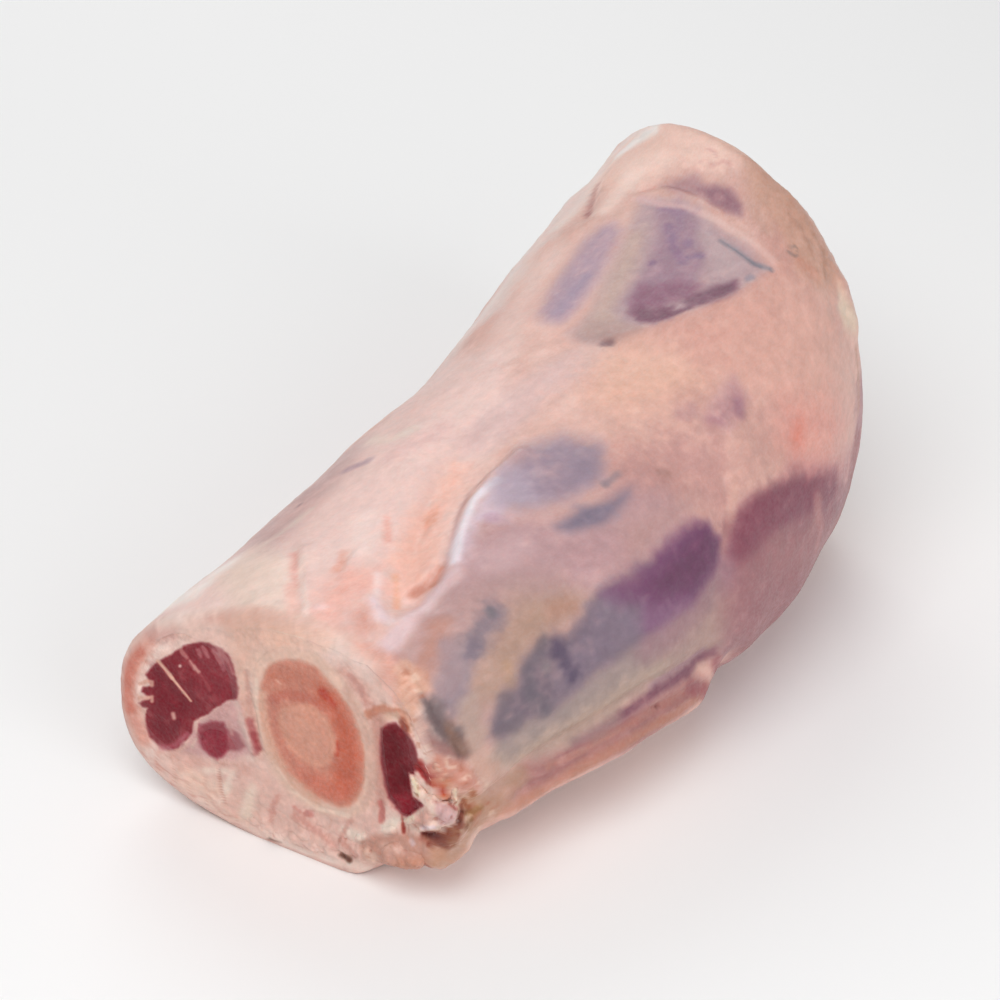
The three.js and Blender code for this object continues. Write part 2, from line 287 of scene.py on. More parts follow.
def cell_edges(u, v, size, seed):
    """How far each place is from the edges between irregular cells of the given size."""
    cu, cv = np.floor(u / size).astype(np.int64), np.floor(v / size).astype(np.int64)
    nearest = np.full(np.shape(u), 1e9)
    second = nearest.copy()
    for i in (-1, 0, 1):
        for j in (-1, 0, 1):
            a, b = cu + i, cv + j
            h = scrambled(a, b, 0, seed)
            ju, jv = (h & 0xFFFF) / 65535.0, ((h >> 16) & 0xFFFF) / 65535.0
            d = np.hypot((a + 0.1 + 0.8 * ju) * size - u, (b + 0.1 + 0.8 * jv) * size - v)
            second = np.minimum(second, np.maximum(nearest, d))
            nearest = np.minimum(nearest, d)
    return second - nearest


def sheet(u, v, layer=0.0):
    """Places (u, v) as points on one layer of the noise."""
    return np.stack([u, v, np.full_like(u, layer)], -1)


# ------------------------------------------------------------------ the photograph's camera
CAMERA_AZIMUTH = math.radians(-58.0)
CAMERA_RISE = math.radians(33.0)
CAMERA_DISTANCE = 1300.0
CAMERA_AIM = np.array([-7.86, 26.34, 64.0])
FOCAL_PIXELS = 3600.0
PHOTO_SIDE = 1000.0
PHOTO_MIDDLE = PHOTO_SIDE / 2
SENSOR_MM = 36.0

COS_AZIMUTH, SIN_AZIMUTH = math.cos(CAMERA_AZIMUTH), math.sin(CAMERA_AZIMUTH)
COS_RISE, SIN_RISE = math.cos(CAMERA_RISE), math.sin(CAMERA_RISE)
RIGHTWARD = np.array([COS_AZIMUTH, SIN_AZIMUTH, 0.0])
UPWARD = np.array([-SIN_AZIMUTH * SIN_RISE, COS_AZIMUTH * SIN_RISE, COS_RISE])
BACKWARD = np.array([SIN_AZIMUTH * COS_RISE, -COS_AZIMUTH * COS_RISE, SIN_RISE])
EYE = CAMERA_AIM + CAMERA_DISTANCE * BACKWARD


def in_photo(points):
    """The pixels of the photograph that show the points."""
    d = points - CAMERA_AIM
    scale = FOCAL_PIXELS / (CAMERA_DISTANCE - d @ BACKWARD)
    return PHOTO_MIDDLE + (d @ RIGHTWARD) * scale, PHOTO_MIDDLE - (d @ UPWARD) * scale


def on_station(px, py, x):
    """The point that a pixel shows on the upright plane at x."""
    across, down = px - PHOTO_MIDDLE, py - PHOTO_MIDDLE
    ray = (RIGHTWARD * across - UPWARD * down) / FOCAL_PIXELS - BACKWARD
    return EYE + ray * ((x - EYE[0]) / ray[0])


def on_cut(pixels):
    """The places on the near cut, as (y, z), that pixels of the photograph show."""
    return [tuple(on_station(px, py, NEAR_X)[1:].tolist()) for px, py in pixels]


class SkinMap:
    """Finds the place on the skin, as (x, mm round), that a pixel of the photograph shows."""

    def __init__(self, along=300, around=480):
        self.xs = np.linspace(NEAR_X, FAR_X, along)
        self.angles = np.linspace(-math.pi / 2, 1.5 * math.pi, around + 1)
        x, angle = np.meshgrid(self.xs, self.angles, indexing="ij")
        points = outer_points(x, angle)
        steps = np.linalg.norm(np.diff(points, axis=1), axis=-1)
        arc = np.concatenate([np.zeros((along, 1)), np.cumsum(steps, 1)], 1)
        side = np.searchsorted(self.angles, 0.0)
        self.arc = arc - arc[:, side:side + 1]
        normal = np.cross(np.gradient(points, axis=0), np.gradient(points, axis=1))
        facing = (normal * (EYE - points)).sum(-1) > 0
        self.px, self.py = in_photo(points)
        self.hidden = np.where(facing, 0.0, 1e9)

    def place(self, pixel):
        off = (self.px - pixel[0]) ** 2 + (self.py - pixel[1]) ** 2 + self.hidden
        i, j = np.unravel_index(off.argmin(), off.shape)
        return float(self.xs[i]), float(self.arc[i, j])

    def path(self, pixels):
        return [self.place(p) for p in pixels]

    def around(self, x, angle):
        """Millimetres round the leg for a station and an angle."""
        xs, angles, arc = self.xs, self.angles, self.arc
        i = np.clip((x - xs[0]) / (xs[1] - xs[0]), 0, len(xs) - 1.001)
        j = np.clip((angle - angles[0]) / (angles[1] - angles[0]), 0, len(angles) - 1.001)
        i0, j0 = i.astype(int), j.astype(int)
        fi, fj = i - i0, j - j0
        return ((arc[i0, j0] * (1 - fj) + arc[i0, j0 + 1] * fj) * (1 - fi)
                + (arc[i0 + 1, j0] * (1 - fj) + arc[i0 + 1, j0 + 1] * fj) * fi)

    def degrees(self, pairs):
        """A path given as (x, degrees), as (x, millimetres round)."""
        x = np.array([p[0] for p in pairs], float)
        angle = np.radians([p[1] for p in pairs])
        return list(zip(x.tolist(), self.around(x, angle).tolist()))


SKIN = SkinMap()

# ------------------------------------------------------------------ small relief of the skin
FIBRE_LENGTH = 7.0
FIBRE_WIDTH = 1.6
CRUMBLY_REACH = 11.0
CRUMBLY_MIDDLE = 8.0
WRINKLED = [(800, 200), (826, 250), (842, 292)]
WRINKLED_HALF = 16.0

# Folds and furrows seen in the photograph: half width, height, pixels of the path.
FOLDS = [
    (2.0, -0.8, [(289, 545), (297, 572), (299, 604)]),
    (1.8, 0.7, [(303, 548), (307, 575), (306, 610)]),
    (1.8, -0.7, [(350, 548), (338, 572), (330, 590)]),
    (2.0, 0.6, [(356, 552), (346, 575)]),
    (1.5, -0.6, [(388, 516), (386, 548)]),
    (1.8, 0.5, [(380, 520), (379, 552)]),
    (2.5, -0.8, [(442, 468), (425, 505), (415, 540), (402, 575), (396, 606)]),
    (2.2, 0.6, [(452, 470), (436, 505), (424, 540)]),
    (2.4, 1.1, [(520, 452), (496, 472), (474, 497), (461, 528), (455, 558)]),
    (2.6, -1.2, [(508, 452), (484, 474), (464, 498), (452, 528), (446, 556), (434, 578)]),
    (2.6, 1.0, [(462, 574), (434, 596), (412, 616), (392, 636), (380, 662)]),
    (3.2, -1.4, [(432, 580), (420, 592), (412, 602)]),
    (2.2, 0.8, [(428, 566), (416, 580), (404, 596)]),
    (2.0, 0.8, [(372, 598), (380, 618), (378, 640)]),
    (2.4, -0.7, [(360, 620), (368, 640), (362, 658)]),
    (2.0, -0.6, [(318, 650), (330, 615), (345, 590)]),
    (2.4, -0.8, [(598, 184), (592, 202), (586, 219)]),
    (2.6, 0.5, [(604, 182), (599, 202), (592, 222)]),
    (2.2, 0.7, [(640, 196), (668, 190), (696, 200), (720, 214)]),
    (1.8, -0.6, [(636, 190), (664, 183), (694, 190)]),
    (1.8, -0.6, [(722, 239), (744, 253), (766, 269)]),
    (2.0, 0.6, [(612, 338), (660, 326), (706, 306), (744, 290), (768, 272)]),
    (1.5, -0.7, [(603, 342), (610, 344)]),
    (2.2, -1.2, [(706, 684), (670, 702), (630, 722), (590, 744), (555, 765)]),
    (1.5, -0.9, [(690, 702), (650, 722), (606, 744), (560, 772), (520, 792)]),
    (1.4, 0.7, [(696, 696), (652, 716), (606, 739), (562, 764)]),
    (1.3, -0.6, [(640, 734), (600, 752), (556, 780), (505, 806)]),
    (2.0, -0.9, [(726, 484), (729, 512), (723, 546)]),
    (2.5, -1.0, [(464, 742), (470, 760), (486, 778)]),
    (2.0, -0.9, [(424, 690), (436, 712), (452, 732), (462, 748)]),
    (1.5, -0.8, [(654, 708), (662, 712)]),
    (1.5, -0.8, [(528, 780), (534, 783)]),
]


def fine_relief(x, around, points):
    """Grain, fibres and folds of the skin, in millimetres outward."""
    fibres = sheet(x / FIBRE_LENGTH, around / FIBRE_WIDTH)
    height = 0.34 * rough_noise(points, 13.0, 11) + 0.16 * rough_noise(points, 5.0, 23)
    height = height + 0.07 * lattice_noise(fibres, 1.5, 31) + 0.05 * lattice_noise(fibres, 0.7, 37)
    beside = smoothstep(95.0, 20.0, np.abs(around - CRUMBLY_MIDDLE))
    crumbly = bell(x - NEAR_X, CRUMBLY_REACH) * beside
    crumbs = 0.9 * rough_noise(points, 6.0, 41) + 0.5 * rough_noise(points, 2.4, 43)
    height = height + crumbly * crumbs
    grainy = smoothstep(FAR_X - 50.0, FAR_X - 15.0, x) * smoothstep(20.0, 60.0, around)
    height = height + 0.16 * grainy * rough_noise(points, 1.9, 47)
    wander = 0.8 * lattice_noise(sheet(x, around), 9.0, 53)
    for half, tall, pixels in FOLDS:
        height = height + tall * bell(distance_to_path(x, around + wander, SKIN.path(pixels)), half)
    wrinkled = bell(distance_to_path(x, around, SKIN.path(WRINKLED)), WRINKLED_HALF)
    wrinkles = np.abs(rough_noise(points * np.array([0.6, 1.0, 1.0]), 4.5, 61)) - 0.3
    return height + wrinkled * 1.3 * wrinkles


# ------------------------------------------------------------------ meshes
SHARP_FROM = math.radians(60)


def to_scene(points):
    """Leg coordinates in millimetres to the frame's metres."""
    return (points - LEG_MIDDLE) * MM


def from_scene(co):
    return np.asarray(co, float) / MM + LEG_MIDDLE


def link(name, data):
    """A new object with the data, in the scene."""
    obj = bpy.data.objects.new(name, data)
    bpy.context.collection.objects.link(obj)
    return obj


def smooth(mesh):
    mesh.polygons.foreach_set("use_smooth", [True] * len(mesh.polygons))


def make_object(name, points, faces):
    mesh = bpy.data.meshes.new(name)
    mesh.from_pydata(to_scene(np.asarray(points)).tolist(), [], faces)
    mesh.update()
    smooth(mesh)
    return link(name, mesh)


def ring_faces(rings, sides, closed=False):
    """Quads between neighbouring rings; closed joins the last ring back to the first."""
    i = np.arange(rings if closed else rings - 1)[:, None]
    j = np.arange(sides)[None, :]
    a, b = i * sides + j, i * sides + (j + 1) % sides
    k = (i + 1) % rings
    c, d = k * sides + (j + 1) % sides, k * sides + j
    corners = [np.broadcast_to(q, (len(i), sides)) for q in (b, a, d, c)]
    return np.stack(corners, -1).reshape(-1, 4).tolist()


def capped(name, rings):
    """A closed object over rings of points, its two ends closed by fans."""
    rings = np.asarray(rings)
    count, sides = rings.shape[:2]
    points = np.concatenate([rings.reshape(-1, 3), rings[:1].mean(1), rings[-1:].mean(1)])
    faces = ring_faces(count, sides)
    near, far = count * sides, count * sides + 1
    last = (count - 1) * sides
    for j in range(sides):
        k = (j + 1) % sides
        faces.append([j, k, near])
        faces.append([last + k, last + j, far])
    return make_object(name, points, faces)


def per_vertex(obj, key):
    values = np.empty(len(obj.data.vertices) * 3)
    obj.data.vertices.foreach_get(key, values)
    return values.reshape(-1, 3)


def vertices_of(obj):
    return from_scene(per_vertex(obj, "co"))


def normals_of(obj):
    return per_vertex(obj, "normal")


def evaluated_mesh(obj):
    """The object's mesh with its modifiers applied, which are then cleared."""
    depsgraph = bpy.context.evaluated_depsgraph_get()
    mesh = bpy.data.meshes.new_from_object(obj.evaluated_get(depsgraph))
    obj.modifiers.clear()
    old, obj.data = obj.data, mesh
    bpy.data.meshes.remove(old)
    smooth(mesh)
    return mesh


def outward(obj):
    """Turns a closed piece's faces outward."""
    points = vertices_of(obj)
    obj.data.calc_loop_triangles()
    corners = np.empty(len(obj.data.loop_triangles) * 3, int)
    obj.data.loop_triangles.foreach_get("vertices", corners)
    a, b, c = (points[corners.reshape(-1, 3)[:, k]] for k in range(3))
    if (np.cross(b - a, c - a) * a).sum() < 0:
        obj.data.flip_normals()
    obj.data.set_sharp_from_angle(angle=SHARP_FROM)
    return obj


# ------------------------------------------------------------------ colours
# What the studio's light does: how much of a colour comes back, and the sheen on top.
LIGHT_LEVEL = 1.03
SHEEN_LEVEL = 0.035
SHEEN_SHARE = 0.35
DARKEST = 0.004
LIGHTEST = 0.93
# The tables hold colours as they are seen, so the soft shade and light that fell on the shank are
# painted into them as well.
# The two kinds of paint in the tables.
FIELD = "field"
STROKE = "stroke"


def linear(seen):
    """The surface colour that looks like the seen one, from 0 to 255, under the studio's light."""
    c = np.clip(np.asarray(seen, float), 0.0, 255.0) / 255.0
    light = np.where(c <= 0.04045, c / 12.92, ((c + 0.055) / 1.055) ** 2.4)
    sheen = np.minimum(SHEEN_LEVEL, SHEEN_SHARE * light)
    return np.clip((light - sheen) / LIGHT_LEVEL, DARKEST, LIGHTEST)


def set_looks(obj, colours, grain):
    """Gives each point its colour and its place in the grain of the tissue."""
    rgba = np.ones((len(colours), 4))
    rgba[:, :3] = linear(colours)
    tint = obj.data.attributes.new("tint", "FLOAT_COLOR", "POINT")
    tint.data.foreach_set("color", rgba.ravel())
    places = obj.data.attributes.new("grain", "FLOAT_VECTOR", "POINT")
    places.data.foreach_set("vector", np.asarray(grain, float).ravel())


def blend(under, over, share):
    return under + (over - under) * share[:, None]


class Paint:
    """Colours from 0 to 255 laid over one another on a piece's points."""

    def __init__(self, count, ground):
        self.colour = np.broadcast_to(np.asarray(ground, float), (count, 3))

    def lay(self, colour, share):
        self.colour = blend(self.colour, np.asarray(colour, float), np.clip(share, 0.0, 1.0))


def field(u, v, outline, soft, ragged):
    """How far a soft, ragged-edged field covers each place, from 0 to 1."""
    return smoothstep(-soft, soft, distance_inside(u, v, outline) + ragged)


def stroke(u, v, path, half, ragged):
    """How far a soft stroke along a path covers each place, from 0 to 1."""
    return smoothstep(1.7 * half, 0.2 * half, distance_to_path(u, v, path) + ragged)


def lay_all(paint, u, v, entries, place, ragged, worn, softer=1.0):
    """Lays fields and strokes on a piece's points, whose places are (u, v), thinner where worn."""
    for kind, colour, strength, edge, torn, path in entries:
        found = place(path if len(path) > 1 else path * 2)
        if kind == FIELD:
            share = field(u, v, found, edge * softer, torn * softer * ragged)
        else:
            share = stroke(u, v, found, edge, torn * ragged)
        paint.lay(colour, strength * share * worn)


# ------------------------------------------------------------------ paint on the skin
# Laid where the photograph shows it, in order. A field has a colour, a strength, the softness and
# raggedness of its edge in mm and an outline in pixels. A stroke has its half width in mm instead
# of the softness, and a path in pixels; with one point it is a spot.
# Broad tones, which the rest lies on; the first is a painted highlight along the lit upper-left
# edge.
TONES = [
    # Painted highlight: a pale stroke along the lit upper-left edge.
    (STROKE, (240, 224, 218), 0.6, 5, 2, [
        (440, 372), (470, 330), (500, 290), (540, 235), (590, 180), (640, 128)]),
    (STROKE, (204, 152, 130), 0.7, 6, 2, [(705, 128), (745, 152), (785, 192), (806, 222)]),
    (STROKE, (206, 158, 148), 0.7, 14, 4, [(690, 180), (760, 215), (790, 270)]),
    (STROKE, (208, 160, 150), 0.7, 14, 4, [(690, 320), (750, 306)]),
    (STROKE, (200, 154, 150), 0.8, 14, 5, [(640, 480), (700, 460), (716, 500)]),
    (STROKE, (206, 162, 154), 0.7, 12, 5, [(700, 400), (760, 430), (740, 460)]),
    (STROKE, (190, 154, 156), 0.9, 14, 5, [(500, 570), (560, 545), (620, 550), (650, 520)]),
    (STROKE, (222, 170, 158), 0.7, 16, 5, [(700, 350), (770, 340)]),
]
# The pale, salmon and white fascia from the near cut to the middle.
FASCIA = [
    (FIELD, (236, 202, 194), 1.0, 6, 3, [
        (225, 560), (250, 535), (300, 492), (350, 448), (380, 425), (420, 385), (455, 355),
        (500, 350), (520, 400), (505, 440), (485, 462), (470, 490), (455, 530), (448, 560),
        (430, 590), (400, 625), (380, 655), (350, 690), (300, 660), (262, 660), (235, 655),
        (205, 640), (160, 625), (170, 605)]),
    (FIELD, (204, 168, 164), 0.9, 5, 2, [
        (245, 545), (300, 492), (350, 448), (366, 440), (350, 465), (330, 490), (300, 520),
        (280, 545), (255, 565)]),
    (STROKE, (224, 204, 192), 0.7, 2.0, 1.5, [(262, 545), (290, 525), (310, 510)]),
    (STROKE, (150, 116, 120), 0.9, 1.2, 0.5, [(300, 504)]),
    (STROKE, (188, 158, 166), 0.8, 1.8, 1.0, [(347, 470), (358, 466), (368, 460)]),
    (STROKE, (236, 214, 202), 0.8, 3.0, 1.5, [(372, 440), (390, 440), (410, 430)]),
    (FIELD, (238, 213, 199), 0.9, 5, 2, [
        (228, 565), (250, 548), (285, 552), (298, 560), (292, 600), (280, 630), (250, 640),
        (225, 630), (205, 615), (215, 585)]),
    (FIELD, (229, 190, 166), 0.8, 5, 2, [
        (225, 625), (250, 615), (285, 618), (295, 640), (280, 655), (250, 655), (232, 650)]),
    (FIELD, (242, 210, 202), 0.9, 4, 2, [
        (165, 606), (205, 584), (225, 600), (212, 622), (185, 632), (170, 640), (150, 650),
        (150, 640)]),
    (STROKE, (222, 152, 138), 0.75, 3.0, 1.5, [(146, 640), (132, 668), (127, 690), (130, 712)]),
    (FIELD, (241, 187, 170), 0.85, 4, 3, [
        (455, 465), (468, 468), (462, 490), (445, 515), (440, 545), (430, 575), (418, 590),
        (400, 590), (395, 560), (405, 540), (420, 510), (435, 490)]),
    (STROKE, (234, 168, 146), 0.8, 2.6, 1.2, [(428, 522), (432, 512)]),
    (FIELD, (238, 178, 164), 0.85, 5, 3, [
        (375, 570), (345, 570), (320, 590), (310, 610), (308, 650), (322, 650), (335, 620),
        (360, 600), (380, 590)]),
    (STROKE, (230, 166, 148), 0.8, 1.4, 0.8, [(345, 550), (338, 570)]),
    (STROKE, (238, 176, 162), 0.8, 1.1, 0.6, [(386, 515), (388, 540)]),
    (STROKE, (238, 182, 156), 0.8, 1.2, 0.7, [(396, 575), (397, 590), (396, 608)]),
    (FIELD, (216, 156, 142), 0.8, 3.5, 2, [
        (350, 612), (374, 606), (378, 628), (360, 636), (350, 630)]),
    (STROKE, (224, 148, 138), 0.8, 2.0, 1.0, [(363, 647), (369, 650)]),
    (STROKE, (242, 204, 202), 0.8, 2.0, 1.0, [(322, 608)]),
    (STROKE, (242, 224, 208), 0.8, 1.8, 1.2, [(285, 620), (298, 640)]),
    (STROKE, (240, 214, 202), 0.8, 2.5, 1.5, [(340, 648), (352, 660), (372, 662)]),
    (STROKE, (228, 160, 148), 0.7, 1.3, 0.2, [(292, 552), (298, 584)]),
    (STROKE, (238, 184, 170), 0.7, 1.8, 0.8, [(291, 585), (293, 612)]),
    (STROKE, (244, 218, 208), 0.9, 1.0, 0.5, [(302, 556), (304, 590), (303, 622)]),
    (STROKE, (242, 216, 212), 0.9, 1.5, 1.0, [(378, 575), (376, 598), (383, 618)]),
    (STROKE, (244, 216, 208), 0.8, 4.0, 2.0, [(365, 515), (362, 550)]),
    (STROKE, (232, 190, 184), 0.7, 5.0, 2.0, [(395, 455), (440, 430)]),
    (STROKE, (222, 188, 184), 0.8, 8.0, 3.0, [(480, 440), (530, 395), (590, 356)]),
]
# The calf: muscle that shows blue and mauve through the silverskin, and the fold on it, with a
# painted highlight along its ridge and painted shadow in the groove beside it.
CALF = [
    (FIELD, (193, 158, 160), 0.9, 6, 3, [
        (470, 540), (500, 510), (560, 525), (620, 520), (660, 500), (690, 505), (670, 540),
        (650, 550), (640, 570), (610, 580), (590, 600), (560, 580), (520, 600), (490, 590),
        (450, 620), (420, 640), (415, 620), (445, 580), (458, 565)]),
    (FIELD, (186, 148, 144), 0.8, 6, 3, [
        (620, 530), (660, 505), (700, 495), (690, 515), (660, 540), (650, 552), (640, 566),
        (615, 575)]),
    (FIELD, (184, 152, 150), 0.95, 6, 3, [
        (450, 600), (500, 570), (560, 570), (590, 600), (580, 615), (550, 650), (520, 680),
        (495, 720), (485, 740), (470, 752), (450, 738), (430, 700), (440, 660), (400, 682),
        (385, 660), (420, 630)]),
    (FIELD, (180, 148, 132), 0.9, 6, 3, [
        (478, 650), (520, 600), (560, 590), (585, 600), (560, 630), (535, 650), (515, 680),
        (505, 700), (480, 710), (465, 690)]),
    (STROKE, (184, 142, 126), 0.7, 3.0, 1.5, [(550, 612), (572, 606)]),
    (STROKE, (186, 150, 126), 0.7, 2.4, 1.5, [(508, 668), (512, 684)]),
    (STROKE, (142, 128, 137), 0.85, 4.2, 2.5, [
        (495, 610), (478, 635), (466, 655), (458, 682), (452, 700)]),
    (STROKE, (130, 124, 130), 0.8, 2.0, 1.0, [(491, 613)]),
    (STROKE, (132, 118, 130), 0.7, 2.5, 1.5, [(474, 646), (470, 658)]),
    (STROKE, (196, 147, 134), 0.8, 4.0, 2.0, [(440, 625), (430, 655), (418, 680)]),
    (STROKE, (200, 150, 143), 0.8, 3.5, 2.0, [(385, 655), (395, 668)]),
    # Painted shadow: a darker line in the groove beside the fold's ridge.
    (STROKE, (204, 163, 158), 0.9, 1.0, 0.5, [
        (492, 470), (470, 490), (458, 515), (453, 545), (446, 565), (440, 580)]),
    (FIELD, (212, 192, 205), 0.9, 3.5, 2, [
        (505, 470), (520, 490), (505, 520), (480, 525), (470, 545), (460, 562), (456, 550),
        (465, 520), (485, 490)]),
    (STROKE, (202, 168, 182), 0.7, 2.5, 1.5, [(492, 518)]),
    # Painted highlight along the fold's ridge, and a paler band of painted highlight below it.
    (STROKE, (238, 228, 234), 1.0, 1.8, 0.6, [
        (498, 480), (486, 489), (474, 501), (466, 516), (460, 532), (456, 548), (455, 562)]),
    (STROKE, (230, 203, 206), 0.85, 3.0, 1.5, [(454, 574), (430, 600), (406, 625), (388, 650)]),
    (STROKE, (236, 212, 216), 0.8, 2.8, 1.5, [(376, 604), (384, 620)]),
    (STROKE, (204, 138, 120), 0.8, 2.0, 1.2, [(440, 566), (432, 578), (420, 588), (412, 594)]),
    (FIELD, (164, 144, 157), 1.0, 5, 3, [
        (500, 480), (512, 462), (522, 448), (545, 440), (562, 434), (582, 440), (600, 444),
        (602, 470), (596, 487), (570, 500), (545, 506), (520, 508), (505, 500)]),
    (FIELD, (152, 136, 150), 0.8, 4, 2.5, [(572, 450), (600, 448), (598, 480), (575, 485)]),
    (FIELD, (192, 176, 190), 0.7, 4, 2, [
        (498, 490), (510, 470), (530, 470), (540, 500), (520, 508), (500, 502)]),
    (FIELD, (138, 126, 141), 1.0, 2.8, 2, [
        (560, 528), (580, 508), (600, 500), (618, 492), (632, 486), (632, 498), (620, 515),
        (605, 526), (590, 528), (570, 530)]),
    (STROKE, (152, 138, 146), 0.8, 1.5, 0.8, [(606, 484), (620, 474)]),
    (FIELD, (190, 146, 140), 0.5, 5, 3, [
        (610, 465), (640, 458), (670, 462), (685, 478), (690, 490), (650, 495), (620, 485)]),
    (STROKE, (178, 138, 132), 0.7, 2.2, 1.2, [(660, 472), (668, 474)]),
]
# The dark violet and blue-grey band along the low side.
DARK_BAND = [
    (STROKE, (158, 120, 134), 0.9, 11, 3, [(640, 650), (690, 620), (716, 585)]),
    (STROKE, (168, 132, 138), 0.8, 9, 3, [(640, 680), (690, 655), (722, 630)]),
    (FIELD, (184, 160, 147), 1.0, 5, 2, [
        (478, 770), (500, 740), (550, 715), (600, 680), (650, 640), (700, 600), (715, 580),
        (735, 600), (720, 640), (700, 660), (660, 684), (600, 718), (550, 748), (500, 772)]),
    (FIELD, (176, 145, 140), 0.8, 5, 2, [
        (660, 640), (710, 596), (735, 605), (720, 645), (690, 664), (668, 668)]),
    (STROKE, (188, 162, 148), 0.6, 6.0, 2.5, [(520, 748), (570, 724), (620, 690)]),
    (STROKE, (158, 142, 140), 0.8, 7, 3, [(512, 738), (560, 712), (610, 676), (650, 642)]),
    (STROKE, (162, 128, 134), 0.8, 7, 3, [(650, 642), (690, 616), (714, 584)]),
    (FIELD, (130, 114, 124), 1.0, 2.8, 2.4, [
        (485, 740), (490, 720), (500, 700), (515, 680), (525, 660), (545, 643), (565, 632),
        (580, 612), (598, 595), (612, 580), (625, 572), (640, 566), (652, 562), (668, 560),
        (672, 600), (650, 632), (630, 650), (600, 670), (575, 690), (550, 712), (520, 728),
        (500, 742)]),
    (FIELD, (129, 91, 117), 1.0, 2.6, 1.8, [
        (655, 552), (668, 540), (684, 525), (696, 520), (706, 521), (713, 530), (722, 540),
        (718, 560), (708, 580), (695, 600), (670, 620), (645, 632), (640, 610), (615, 606),
        (602, 596), (612, 582), (628, 572), (642, 565), (652, 562)]),
    (FIELD, (112, 73, 99), 0.75, 4, 2.5, [
        (690, 540), (706, 528), (716, 545), (712, 570), (690, 590), (660, 597), (648, 585),
        (668, 560)]),
    (FIELD, (146, 112, 136), 0.7, 4, 2, [
        (640, 607), (690, 602), (665, 625), (645, 636), (632, 622)]),
    (FIELD, (136, 120, 134), 0.75, 4, 2, [
        (572, 640), (600, 600), (640, 606), (640, 635), (610, 655), (585, 680), (560, 690),
        (560, 660)]),
    (STROKE, (100, 88, 106), 0.8, 3.6, 2.4, [(556, 648), (564, 662), (572, 676)]),
    (STROKE, (112, 104, 113), 0.7, 2.8, 1.8, [(545, 643), (528, 670), (532, 695), (546, 710)]),
    (STROKE, (121, 109, 117), 0.7, 3.0, 1.8, [(505, 700), (500, 725), (516, 722)]),
    (STROKE, (136, 128, 130), 0.6, 2.5, 1.2, [(546, 668)]),
]
# The flap below the band.
FLAP = [
    (STROKE, (166, 128, 140), 0.7, 2.2, 1.0, [(700, 652), (672, 672), (650, 686)]),
    (FIELD, (164, 116, 114), 0.95, 2.5, 1.2, [
        (716, 666), (690, 674), (650, 703), (610, 727), (570, 747), (520, 768), (500, 806),
        (540, 792), (600, 762), (650, 737), (700, 700)]),
    (STROKE, (134, 92, 106), 0.9, 2.2, 0.8, [
        (714, 650), (690, 668), (660, 690), (630, 710), (600, 730), (575, 744)]),
    (STROKE, (150, 98, 102), 0.7, 1.2, 0.6, [(700, 684), (650, 712), (600, 738), (560, 756)]),
    (STROKE, (186, 134, 122), 0.7, 1.4, 0.7, [(690, 690), (645, 716), (600, 745), (550, 768)]),
    (STROKE, (190, 136, 118), 0.8, 2.2, 1.0, [
        (704, 694), (650, 730), (600, 758), (545, 790), (500, 812)]),
    # Painted shade in a small hole.
    (STROKE, (118, 66, 64), 0.8, 1.2, 0.4, [(659, 708)]),
    (STROKE, (186, 150, 130), 0.8, 5.0, 2.0, [(520, 778), (490, 800), (470, 812)]),
]
